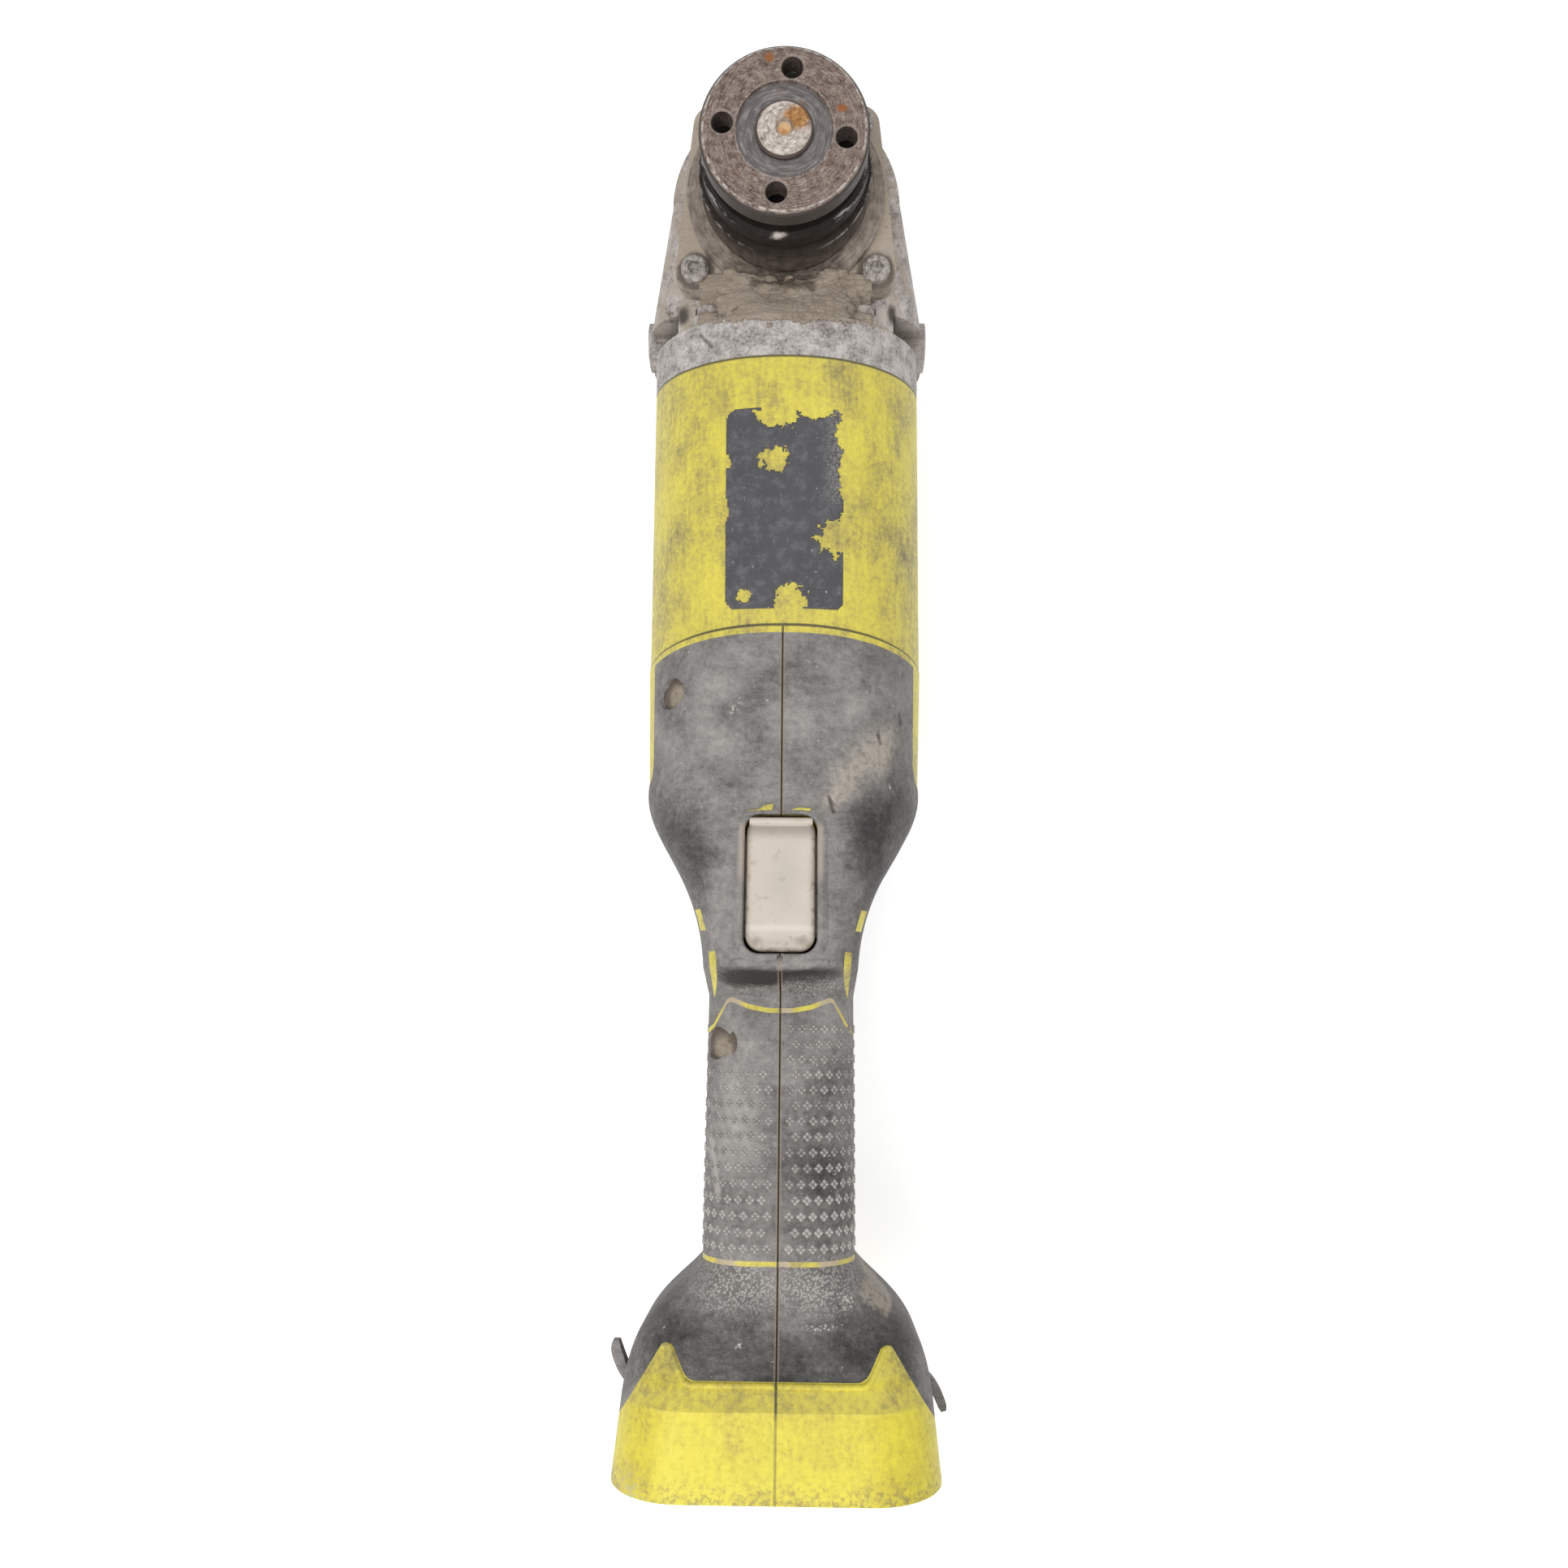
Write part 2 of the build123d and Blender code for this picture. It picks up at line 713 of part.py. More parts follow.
# Pinion: bevel teeth and a hub that runs back to the front bearing
front_bearing_y = band_rear + plate_disc_t
front_bearing_nose = front_bearing_y + front_bearing_size[2]
pinion_tooth = bevel_tooth((1, 0, 0), pinion_cone, pinion_addendum, pinion_dedendum)
pinion_root_r = pinion_pitch_r - pinion_dedendum * cos(pinion_cone)
pinion_root_y = -ring_pitch_r - pinion_dedendum * sin(pinion_cone)
with BuildPart() as pinion:
    with BuildSketch(Plane.YZ):
        with BuildLine():
            Polyline(
                (pinion_root_y * inner_share, axis_z + pinion_bore_d / 2 + fit),
                (pinion_root_y * inner_share, axis_z + pinion_root_r * inner_share),
                (pinion_root_y, axis_z + pinion_root_r),
                (pinion_root_y - gear_module, axis_z + pinion_hub_r),
                (front_bearing_nose, axis_z + pinion_hub_r),
                (front_bearing_nose, axis_z + pinion_bore_d / 2 + fit),
                close=True,
            )
        make_face()
    revolve(axis=motor_line)
    add([pinion_tooth.rotate(motor_line, i * 360 / pinion_teeth) for i in range(pinion_teeth)])
pinion.part.label = "pinion"
export_step(pinion.part, "parts/pinion.step")

# Gear case: round nose, tapering shoulder and the band that meets the barrel
screw_spots = [
    (case_screw_r * cos(radians(angle)), case_screw_r * sin(radians(angle)))
    for angle in (case_screw_angle, 180 - case_screw_angle, 180 + case_screw_angle, -case_screw_angle)
]
exhaust_end = exhaust_from + exhaust_span
exhaust_starts = [exhaust_from, 180 - exhaust_end, 180 + exhaust_from, -exhaust_end]
lock_spring_r = lock_pin_d / 2 + loose + spring_wire_d / 2
screw_seat_y = band_front + boss_proud
plate_boss_r = front_bearing_size[1] / 2 + bearing_wall
with BuildPart() as gear_case:
    with BuildSketch(Plane.XY.offset(case_back)):
        Circle(nose_r)
    extrude(amount=case_face - case_back)
    fillet(gear_case.edges().group_by(Axis.Z)[0], nose_fillet)
    with BuildSketch(Plane.XY.offset(case_face)):
        with Locations(*cover_spots):
            Circle(lug_r)
        make_hull()
    extrude(amount=-head_flange_t)
    with BuildSketch(motor_plane(shoulder_start)):
        shoulder_sizes = (motor_drop, axis_z - case_back, shoulder_front_fillet / 3, nose_fillet)
        flat_backed(shoulder_start_half_w, *shoulder_sizes)
    with BuildSketch(motor_plane(band_front)):
        flat_backed(
            shoulder_half_w,
            motor_drop,
            barrel_back - shoulder_inset,
            shoulder_front_fillet,
            shoulder_back_fillet,
        )
    loft()
    with BuildSketch(motor_plane(band_front)):
        barrel_section(barrel_r)
    extrude(amount=band_len)
    with BuildSketch(motor_plane(screw_seat_y)):
        with Locations(*screw_spots):
            Circle(case_screw_boss_r)
    extrude(amount=band_len + boss_proud)
    for side in (-1, 1):
        with BuildSketch(Plane.YZ.offset(side * side_boss_x)):
            with Locations((side_boss_y, axis_z)):
                Circle(side_boss_r)
        extrude(amount=-side * side_boss_len)
    with BuildSketch(Plane.XY.offset(roof_inside)):
        Circle(cavity_r)
    extrude(amount=case_face - roof_inside, mode=Mode.SUBTRACT)
    with BuildSketch(motor_plane(band_rear)):
        Circle(plate_boss_r + fit)
    extrude(amount=-plate_bore_len, mode=Mode.SUBTRACT)
    with BuildSketch(motor_plane(band_rear)):
        Circle(plate_disc_r + fit)
    extrude(amount=-plate_disc_t, mode=Mode.SUBTRACT)
    with BuildSketch(Plane.XY.offset(roof_inside)):
        Circle(bush_d / 2 + bush_wall)
    extrude(amount=bush_len)
    with BuildSketch(Plane.XY.offset(case_back + lock_boss_inset)):
        with Locations((0, lock_hole_pitch_r)):
            Circle(lock_boss_r)
    extrude(amount=button_well - lock_boss_inset + lock_guide_len)
    with BuildSketch(Plane.XY.offset(roof_inside)):
        Circle(bush_d / 2 + fit)
    extrude(amount=bush_len + lock_guide_len, mode=Mode.SUBTRACT)
    with BuildSketch(Plane.XY.offset(button_top)):
        with Locations((0, lock_hole_pitch_r)):
            Circle(button_d / 2 + button_gap)
    extrude(amount=button_well + button_rise, mode=Mode.SUBTRACT)
    with BuildSketch(Plane.XY.offset(well_floor)):
        with Locations((0, lock_hole_pitch_r)):
            Circle(lock_pin_d / 2 + fit)
    extrude(amount=lock_guide_len, mode=Mode.SUBTRACT)
    with BuildSketch(Plane.XY.offset(well_floor)):
        with Locations((0, lock_hole_pitch_r)):
            Circle(lock_spring_r + spring_wire_d / 2 + loose)
    extrude(amount=spring_pocket, mode=Mode.SUBTRACT)
    for start in exhaust_starts:
        with BuildSketch(motor_plane(band_front + exhaust_pocket_y)):
            ring_sector(exhaust_inner_r, barrel_r + lug_r, start, exhaust_span)
        extrude(amount=exhaust_pocket_y, mode=Mode.SUBTRACT)
        with BuildSketch(motor_plane(band_front)):
            ring_sector(exhaust_inner_r, exhaust_outer_r, start, exhaust_span)
        extrude(amount=band_len, mode=Mode.SUBTRACT)
    with BuildSketch(motor_plane(screw_seat_y)):
        with Locations(*screw_spots):
            Circle(screw_head_d / 2 + loose)
    extrude(amount=-screw_head_h - loose, mode=Mode.SUBTRACT)
    with BuildSketch(motor_plane(screw_seat_y)):
        with Locations(*screw_spots):
            Circle(screw_d / 2 + fit)
    extrude(amount=band_len + boss_proud, mode=Mode.SUBTRACT)
    for side in (-1, 1):
        with BuildSketch(Plane.YZ.offset(side * side_boss_x)):
            with Locations((side_boss_y, axis_z)):
                Circle(side_thread_r)
        extrude(amount=-side * side_thread_depth, mode=Mode.SUBTRACT)
    with BuildSketch(Plane.XY.offset(case_face)):
        with Locations(*cover_spots):
            Circle(screw_d / 2 + fit)
    extrude(amount=-cover_screw_depth - loose, mode=Mode.SUBTRACT)
gear_case.part.label = "gear_case"
export_step(gear_case.part, "parts/gear_case.step")

# Screws that pull the gear case against the barrel
with BuildPart() as gear_case_screws:
    with BuildSketch(motor_plane(screw_seat_y)):
        with Locations(*screw_spots):
            Circle(screw_head_d / 2)
    extrude(amount=-screw_head_h)
    with BuildSketch(motor_plane(screw_seat_y + screw_head_h)):
        with Locations(*screw_spots):
            RegularPolygon(socket_r, 6)
    extrude(amount=screw_head_h / 2, mode=Mode.SUBTRACT)
    with BuildSketch(motor_plane(screw_seat_y)):
        with Locations(*screw_spots):
            Circle(screw_d / 2)
    extrude(amount=case_screw_len)
gear_case_screws.part.label = "gear_case_screws"
export_step(gear_case_screws.part, "parts/gear_case_screws.step")

# Needle bush that carries the end of the spindle
with BuildPart() as spindle_bush:
    add(ring(Plane.XY.offset(roof_inside + bush_len / 2), bush_d, journal_d + 2 * fit, bush_len))
spindle_bush.part.label = "spindle_bush"
export_step(spindle_bush.part, "parts/spindle_bush.step")

# Spindle lock: cap, pin and return spring
button_inside = button_top + button_t
pin_tip = ring_web_z - lock_pin_gap
with BuildPart() as lock_button:
    with BuildSketch(Plane.XY.offset(button_top)):
        with Locations((0, lock_hole_pitch_r)):
            Circle(button_d / 2)
    extrude(amount=button_t)
    fillet(lock_button.edges().group_by(Axis.Z)[0], button_t / 4)
lock_button.part.label = "lock_button"
export_step(lock_button.part, "parts/lock_button.step")

with BuildPart() as lock_pin:
    with BuildSketch(Plane.XY.offset(button_inside)):
        with Locations((0, lock_hole_pitch_r)):
            Circle(lock_pin_d / 2)
    extrude(amount=pin_tip - button_inside)
    chamfer(lock_pin.edges().group_by(Axis.Z)[-1], lock_pin_d / 8)
lock_pin.part.label = "lock_pin"
export_step(lock_pin.part, "parts/lock_pin.step")

with BuildPart() as lock_spring:
    add(
        spring(
            (0, lock_hole_pitch_r, button_inside),
            (0, 0, 1),
            lock_spring_r,
            well_floor + spring_pocket - button_inside,
            lock_spring_turns,
        )
    )
lock_spring.part.label = "lock_spring"
export_step(lock_spring.part, "parts/lock_spring.step")

# Bearing plate between gear case and barrel, with the front motor bearing in its boss
with BuildPart() as bearing_plate:
    with BuildSketch(motor_plane(band_rear)):
        Circle(plate_disc_r)
    extrude(amount=-plate_disc_t)
    with BuildSketch(motor_plane(front_bearing_y)):
        Circle(plate_boss_r)
    extrude(amount=-front_bearing_size[2] - plate_lip)
    with BuildSketch(motor_plane(band_rear)):
        Circle(front_bearing_size[1] / 2)
    extrude(amount=-plate_disc_t - front_bearing_size[2], mode=Mode.SUBTRACT)
    with BuildSketch(motor_plane(front_bearing_nose)):
        Circle(front_bearing_size[1] / 2 - bearing_wall)
    extrude(amount=-plate_lip, mode=Mode.SUBTRACT)
bearing_plate.part.label = "bearing_plate"
export_step(bearing_plate.part, "parts/bearing_plate.step")

front_bearing_plane = motor_plane((front_bearing_y + front_bearing_nose) / 2)
with BuildPart() as front_bearing_outer:
    add(outer_race(front_bearing_plane, front_bearing_size))
front_bearing_outer.part.label = "front_bearing_outer"
export_step(front_bearing_outer.part, "parts/front_bearing_outer.step")

with BuildPart() as front_bearing_balls:
    add(ball_set(front_bearing_plane, front_bearing_size))
front_bearing_balls.part.label = "front_bearing_balls"
export_step(front_bearing_balls.part, "parts/front_bearing_balls.step")

with BuildPart() as front_bearing_inner:
    add(inner_race(front_bearing_plane, front_bearing_size))
front_bearing_inner.part.label = "front_bearing_inner"
export_step(front_bearing_inner.part, "parts/front_bearing_inner.step")

# Places along the motor, from the fan back to the rear bearing
fan_front = band_rear - fan_gap
fan_rear = fan_front - fan_len
can_front = fan_rear - can_gap
can_rear = can_front - can_len
can_inner_r = can_r - can_wall
core_r = can_inner_r - magnet_t - air_gap
core_front = (can_front + can_rear) / 2 + core_len / 2
core_rear = core_front - core_len
winding_rear = core_rear - winding_len
plate_rear = can_rear - brush_plate_t
brush_y = plate_rear - brush_holder_wall - fit - brush_t / 2
commutator_front = winding_rear - winding_gap
commutator_rear = brush_y - brush_t / 2 - winding_gap
rear_bearing_front = commutator_rear - fit - brush_holder_wall
rear_bearing_back = rear_bearing_front - rear_bearing_size[2]
rear_bearing_plane = motor_plane((rear_bearing_front + rear_bearing_back) / 2)

# Cooling fan: back disc, hub and straight blades
with BuildPart() as fan:
    with BuildSketch(motor_plane(fan_rear)):
        Circle(fan_r)
    extrude(amount=-fan_disc_t)
    with BuildSketch(motor_plane(fan_rear)):
        with PolarLocations((fan_r + fan_hub_r) / 2, fan_blades):
            Rectangle(fan_r - fan_hub_r - loose, fan_blade_t)
        Circle(fan_hub_r)
    extrude(amount=-fan_len)
    with BuildSketch(motor_plane(fan_rear)):
        Circle(shaft_d / 2 + fit)
    extrude(amount=-fan_len, mode=Mode.SUBTRACT)
fan.part.label = "fan"
export_step(fan.part, "parts/fan.step")

# Armature shaft: pinion seat, main length and rear journal
with BuildPart() as armature_shaft:
    with BuildSketch(motor_plane(pinion_root_y * inner_share)):
        Circle(pinion_bore_d / 2)
    extrude(amount=pinion_root_y * inner_share - front_bearing_nose)
    with BuildSketch(motor_plane(front_bearing_nose)):
        Circle(shaft_d / 2)
    extrude(amount=front_bearing_nose - rear_bearing_front)
    with BuildSketch(motor_plane(rear_bearing_front)):
        Circle(shaft_rear_d / 2)
    extrude(amount=rear_bearing_size[2])
armature_shaft.part.label = "armature_shaft"
export_step(armature_shaft.part, "parts/armature_shaft.step")

# Armature core: a stack with open slots for the wire
with BuildPart() as armature_core:
    with BuildSketch(motor_plane(core_front)):
        Circle(core_r)
        Circle(shaft_d / 2 + fit, mode=Mode.SUBTRACT)
        with PolarLocations(core_r - slot_depth / 2, slot_count):
            Rectangle(slot_depth + slot_w, slot_w, mode=Mode.SUBTRACT)
    extrude(amount=core_len)
armature_core.part.label = "armature_core"
export_step(armature_core.part, "parts/armature_core.step")

# Windings: bars in the slots joined by end turns
wire_outer_r = core_r - slot_w / 2
wire_inner_r = core_r - slot_depth
with BuildPart() as armature_windings:
    with BuildSketch(motor_plane(core_front + winding_len)):
        with PolarLocations((wire_outer_r + wire_inner_r) / 2, slot_count):
            Rectangle(wire_outer_r - wire_inner_r, slot_w - 2 * wire_gap)
    extrude(amount=core_len + 2 * winding_len)
    for end_plane in (core_front + winding_len, core_rear):
        with BuildSketch(motor_plane(end_plane)):
            Circle(wire_outer_r)
            Circle(wire_inner_r, mode=Mode.SUBTRACT)
        extrude(amount=winding_len)
armature_windings.part.label = "armature_windings"
export_step(armature_windings.part, "parts/armature_windings.step")

# Commutator: copper drum cut into bars
with BuildPart() as commutator:
    with BuildSketch(motor_plane(commutator_front)):
        Circle(commutator_r)
        Circle(shaft_d / 2 + fit, mode=Mode.SUBTRACT)
        with PolarLocations(commutator_r, commutator_bars):
            Rectangle(commutator_r / 5, commutator_r / 20, mode=Mode.SUBTRACT)
    extrude(amount=commutator_front - commutator_rear)
commutator.part.label = "commutator"
export_step(commutator.part, "parts/commutator.step")

# Motor can with a front wall, and its four magnets
with BuildPart() as motor_can:
    with BuildSketch(motor_plane(can_front)):
        Circle(can_r)
    extrude(amount=can_len)
    with BuildSketch(motor_plane(can_front - can_wall)):
        Circle(can_inner_r)
    extrude(amount=can_len - can_wall, mode=Mode.SUBTRACT)
    with BuildSketch(motor_plane(can_front)):
        Circle(fan_hub_r + can_wall)
    extrude(amount=can_wall, mode=Mode.SUBTRACT)
motor_can.part.label = "motor_can"
export_step(motor_can.part, "parts/motor_can.step")

with BuildPart() as field_magnets:
    with BuildSketch(motor_plane(can_front - magnet_end_gap)):
        Circle(can_inner_r - fit)
        Circle(can_inner_r - magnet_t, mode=Mode.SUBTRACT)
        Rectangle(2 * can_r, magnet_gap_w, mode=Mode.SUBTRACT)
        Rectangle(magnet_gap_w, 2 * can_r, mode=Mode.SUBTRACT)
    extrude(amount=can_len - 2 * magnet_end_gap)
field_magnets.part.label = "field_magnets"
export_step(field_magnets.part, "parts/field_magnets.step")

# Brush plate: ring on the can, two legs and the cup of the rear bearing
cup_r = rear_bearing_size[1] / 2 + bearing_wall
cup_end = rear_bearing_back - plate_lip
with BuildPart() as brush_plate:
    with BuildSketch(motor_plane(can_rear)):
        Circle(can_r - fit)
        Circle(commutator_r + bearing_wall, mode=Mode.SUBTRACT)
    extrude(amount=brush_plate_t)
    with BuildSketch(motor_plane(can_rear)):
        with GridLocations(0, 2 * (commutator_r + bearing_wall), 1, 2):
            Rectangle(2 * bearing_wall, bearing_wall)
    extrude(amount=can_rear - cup_end)
    with BuildSketch(motor_plane(rear_bearing_front)):
        Circle(cup_r)
    extrude(amount=rear_bearing_front - cup_end)
    with BuildSketch(motor_plane(rear_bearing_front)):
        Circle(rear_bearing_size[1] / 2)
    extrude(amount=rear_bearing_size[2], mode=Mode.SUBTRACT)
brush_plate.part.label = "brush_plate"
export_step(brush_plate.part, "parts/brush_plate.step")

# Carbon brushes, each in a boxed holder with a spring behind it
brush_inner = commutator_r + 2 * fit
brush_outer = brush_inner + brush_len
holder_inner = commutator_r + brush_holder_wall
holder_outer = brush_outer + brush_spring_len + brush_holder_wall
hole_t = brush_t / 2 + fit
hole_w = brush_w / 2 + fit
with BuildPart() as brush_holders:
    for side in (-1, 1):
        with BuildSketch(Plane.YZ.offset(side * holder_inner)):
            with Locations((brush_y, axis_z)):
                Rectangle(2 * (hole_t + brush_holder_wall), 2 * (hole_w + brush_holder_wall))
        extrude(amount=side * (holder_outer - holder_inner))
        with BuildSketch(Plane.YZ.offset(side * holder_inner)):
            with Locations((brush_y, axis_z)):
                Rectangle(2 * hole_t, 2 * hole_w)
        extrude(amount=side * (holder_outer - brush_holder_wall - holder_inner), mode=Mode.SUBTRACT)
brush_holders.part.label = "brush_holders"
export_step(brush_holders.part, "parts/brush_holders.step")

with BuildPart() as carbon_brushes:
    for side in (-1, 1):
        with BuildSketch(Plane.YZ.offset(side * brush_inner)):
            with Locations((brush_y, axis_z)):
                Rectangle(brush_t, brush_w)
        extrude(amount=side * brush_len)
carbon_brushes.part.label = "carbon_brushes"
export_step(carbon_brushes.part, "parts/carbon_brushes.step")

with BuildPart() as brush_springs:
    for side in (-1, 1):
        add(
            spring(
                (side * brush_outer, brush_y, axis_z),
                (side, 0, 0),
                brush_w / 2 - spring_wire_d,
                brush_spring_len,
                brush_spring_turns,
            )
        )
brush_springs.part.label = "brush_springs"
export_step(brush_springs.part, "parts/brush_springs.step")

with BuildPart() as rear_bearing_outer:
    add(outer_race(rear_bearing_plane, rear_bearing_size))
rear_bearing_outer.part.label = "rear_bearing_outer"
export_step(rear_bearing_outer.part, "parts/rear_bearing_outer.step")

with BuildPart() as rear_bearing_balls:
    add(ball_set(rear_bearing_plane, rear_bearing_size))
rear_bearing_balls.part.label = "rear_bearing_balls"
export_step(rear_bearing_balls.part, "parts/rear_bearing_balls.step")

with BuildPart() as rear_bearing_inner:
    add(inner_race(rear_bearing_plane, rear_bearing_size))
rear_bearing_inner.part.label = "rear_bearing_inner"
export_step(rear_bearing_inner.part, "parts/rear_bearing_inner.step")

# Motor housing: the barrel, skimmed flat at the back, with screw bosses in front and ribs that hold the can
joint_plane = Plane(
    (0, joint_y, axis_z), x_dir=(1, 0, 0), z_dir=(0, -cos(radians(joint_tilt)), sin(radians(joint_tilt)))
)
barrel_tail_y = joint_y - rear_tail
with BuildPart() as motor_housing:
    with BuildSketch(motor_plane(band_rear)):
        barrel_section(barrel_r, skim=fit)
    with BuildSketch(motor_plane(barrel_tail_y)):
        barrel_section(barrel_rear_r, skim=fit)
    loft(ruled=True)
    split(bisect_by=Plane.XY.offset(back_z), keep=Keep.TOP)
    with BuildSketch(motor_plane(band_rear)):
        barrel_section(barrel_r, barrel_wall)
    with BuildSketch(motor_plane(barrel_tail_y)):
        barrel_section(barrel_rear_r, barrel_wall)
    loft(ruled=True, mode=Mode.SUBTRACT)
    with BuildSketch(motor_plane(band_rear)):
        with Locations(*screw_spots):
            Circle(case_screw_boss_r)
        barrel_section(barrel_r, mode=Mode.INTERSECT)
    extrude(amount=case_screw_len - band_len)
    with BuildSketch(motor_plane(band_rear)):
        with Locations(*screw_spots):
            Circle(screw_d / 2 + fit)
    extrude(amount=case_screw_len - band_len - boss_proud + loose, mode=Mode.SUBTRACT)
    with BuildSketch(motor_plane(can_front - can_rib_inset)):
        with PolarLocations(0, 4, start_angle=can_rib_turn, angular_range=180):
            Rectangle(3 * barrel_r, can_rib_w)
        barrel_section(barrel_r, barrel_wall / 2, mode=Mode.INTERSECT)
        Circle(can_r + fit, mode=Mode.SUBTRACT)
    extrude(amount=can_len - 2 * can_rib_inset)
    split(bisect_by=joint_plane, keep=Keep.BOTTOM)
motor_housing.part.label = "motor_housing"
export_step(motor_housing.part, "parts/motor_housing.step")

# Handle: sections square to its own axis, from the barrel's joint to the battery foot
tilt = radians(handle_tilt)


def handle_point(x, along, out):
    """Point of the handle: sideways, along its axis from the bend, and out towards the trigger side."""
    return Vector(
        x,
        bend_y - along * cos(tilt) + out * sin(tilt),
        axis_z + along * sin(tilt) + out * cos(tilt),
    )


def handle_plane(along):
    """Plane across the handle, its normal towards the foot and its own y towards the trigger side."""
    return Plane(handle_point(0, along, 0), x_dir=(1, 0, 0), z_dir=(0, -cos(tilt), sin(tilt)))


def side_plane(x):
    """Plane along the handle's side at x, its own x along it and its own y towards the trigger side."""
    return Plane((x, bend_y, axis_z), x_dir=(0, -cos(tilt), sin(tilt)), z_dir=(-1, 0, 0))


def front_plane(along, out):
    """Plane facing the trigger side, its own y towards the nose."""
    return Plane(handle_point(0, along, out), x_dir=(1, 0, 0), z_dir=(0, sin(tilt), cos(tilt)))


joint_r = barrel_r + (barrel_rear_r - barrel_r) * (band_rear - joint_y) / (band_rear - barrel_tail_y)
joint_stretch = 1 / cos(radians(joint_tilt))
flare_start = palm_end + stripe_w


def grip_section(inset, wide=0.0, deep=0.0):
    """Section of the grip, or of the foot by its shares of the rim's width and depth."""
    flat_backed(
        grip_half_w + (rim_half_w - grip_half_w) * wide - inset,
        grip_front + (rim_depth - grip_front) * deep - inset,
        grip_back + (rim_depth - grip_back) * deep - inset,
        grip_front_fillet + (rim_front_fillet - grip_front_fillet) * wide - inset,
        grip_back_fillet - inset,
    )


def step_section(inset):
    """Section at the top of the step below the trigger."""
    flat_backed(
        grip_half_w + step_side - inset,
        step_front - inset,
        grip_back + step_side - inset,
        grip_front_fillet - inset,
        grip_back_fillet - inset,
    )


def handle_form(inset):
    """Body of the handle, drawn in by inset: belly, neck, step, grip, and the foot's flare and rim."""
    step_start = step_along - inset * tan(atan2(step_front - grip_front, step_len) / 2)
    with BuildPart() as belly:
        with BuildSketch(joint_plane):
            flat_backed(
                joint_r - inset,
                joint_r * joint_stretch - inset,
                barrel_back * joint_stretch - inset,
                barrel_front_fillet - inset,
                barrel_back_fillet - inset,
            )
        along, *sizes = neck_sections[0]
        with BuildSketch(handle_plane(along)):
            flat_backed(*[size - inset for size in sizes])
        loft(ruled=True)
    with BuildPart() as neck:
        for along, *sizes in neck_sections:
            with BuildSketch(handle_plane(along)):
                flat_backed(*[size - inset for size in sizes])
        with BuildSketch(handle_plane(step_start)):
            step_section(inset)
        loft()
    with BuildPart() as step:
        with BuildSketch(handle_plane(step_start)):
            step_section(inset)
        with BuildSketch(handle_plane(step_start + step_len)):
            grip_section(inset)
        loft(ruled=True)
    with BuildPart() as flare:
        with BuildSketch(handle_plane(flare_start)):
            grip_section(inset)
        for before, wide, deep in flare_sections:
            with BuildSketch(handle_plane(rim_along - before)):
                grip_section(inset, wide, deep)
        loft()
    with BuildPart() as foot:
        for before, wide, deep in flare_sections[-1:] + [(0.0, 1.0, 1.0)]:
            with BuildSketch(handle_plane(rim_along - before)):
                grip_section(inset, wide, deep)
        loft(ruled=True)
    with BuildPart() as made:
        with BuildSketch(handle_plane(step_start + step_len)):
            grip_section(inset)
        extrude(amount=flare_start - step_start - step_len)
        for stretch in (belly, neck, step, flare, foot):
            add(stretch.part)
    return made.part


outer_form = handle_form(0.0)
under_rubber = handle_form(rubber_t)
inner_form = handle_form(rubber_t + shell_wall)


def beyond(edge, shift=0.0):
    """Everything past an edge of the rubber, towards the foot, with the edge moved along by shift."""
    right = [(x, -along - shift) for x, along, radius in edge]
    left = [(-x, y) for x, y in reversed(right)]
    radii = [radius for x, along, radius in edge[:-1]]
    far = zone_size / 2
    corners = [(far, right[-1][1]), (far, -zone_size), (-far, -zone_size), (-far, right[-1][1])]
    with BuildPart() as made:
        with BuildSketch(front_plane(0, -far)):
            with BuildLine():
                FilletPolyline(*left, *right, radius=radii[::-1] + radii)
                Polyline(right[-1], *corners, left[0])
            make_face()
        extrude(amount=zone_size)
    return made.part


# Places left bare by the rubber: the slit and the crescent on both sides of the neck
with BuildPart() as bare_places:
    for side in (-1, 1):
        with BuildSketch(front_plane(0, slit_floor)):
            with BuildLine():
                Polyline(*[(side * x, -along) for x, along in slit_outline], close=True)
            make_face()
        extrude(amount=zone_size)
        with BuildSketch(front_plane(0, crescent_floor)):
            with BuildLine():
                inner = ThreePointArc(*[(side * x, -along) for x, along in crescent_inner])
                outer = ThreePointArc(*[(side * x, -along) for x, along in crescent_outer])
                Line(outer @ 1, inner @ 0)
            make_face()
        extrude(amount=zone_size)

# Places covered by rubber: three stretches of the handle, clear of the side windows and the foot's horns
with BuildPart() as belly_zone:
    with BuildSketch(joint_plane.offset(joint_lip)):
        Rectangle(zone_size, zone_size)
    extrude(amount=zone_size)
    add(beyond(palm_edge), mode=Mode.SUBTRACT)
    with BuildSketch(side_plane(zone_size / 2)):
        with Locations((vent_window_along, vent_window_out)):
            RectangleRounded(vent_window_len, vent_window_h, window_corner)
        with Locations((lock_off_along, lock_off_out)):
            RectangleRounded(lock_window_len, lock_window_h, lock_window_h / 2 - fit)
    extrude(amount=zone_size, mode=Mode.SUBTRACT)
    add(bare_places.part, mode=Mode.SUBTRACT)
    add(under_rubber, mode=Mode.SUBTRACT)

with BuildPart() as palm_zone:
    add(beyond(palm_edge, stripe_w))
    split(bisect_by=handle_plane(palm_end), keep=Keep.BOTTOM)
    add(under_rubber, mode=Mode.SUBTRACT)

with BuildPart() as saddle_zone:
    with BuildSketch(handle_plane(palm_end + stripe_w)):
        Rectangle(zone_size, zone_size)
    extrude(amount=zone_size)
    add(beyond(saddle_edge), mode=Mode.SUBTRACT)
    add(under_rubber, mode=Mode.SUBTRACT)

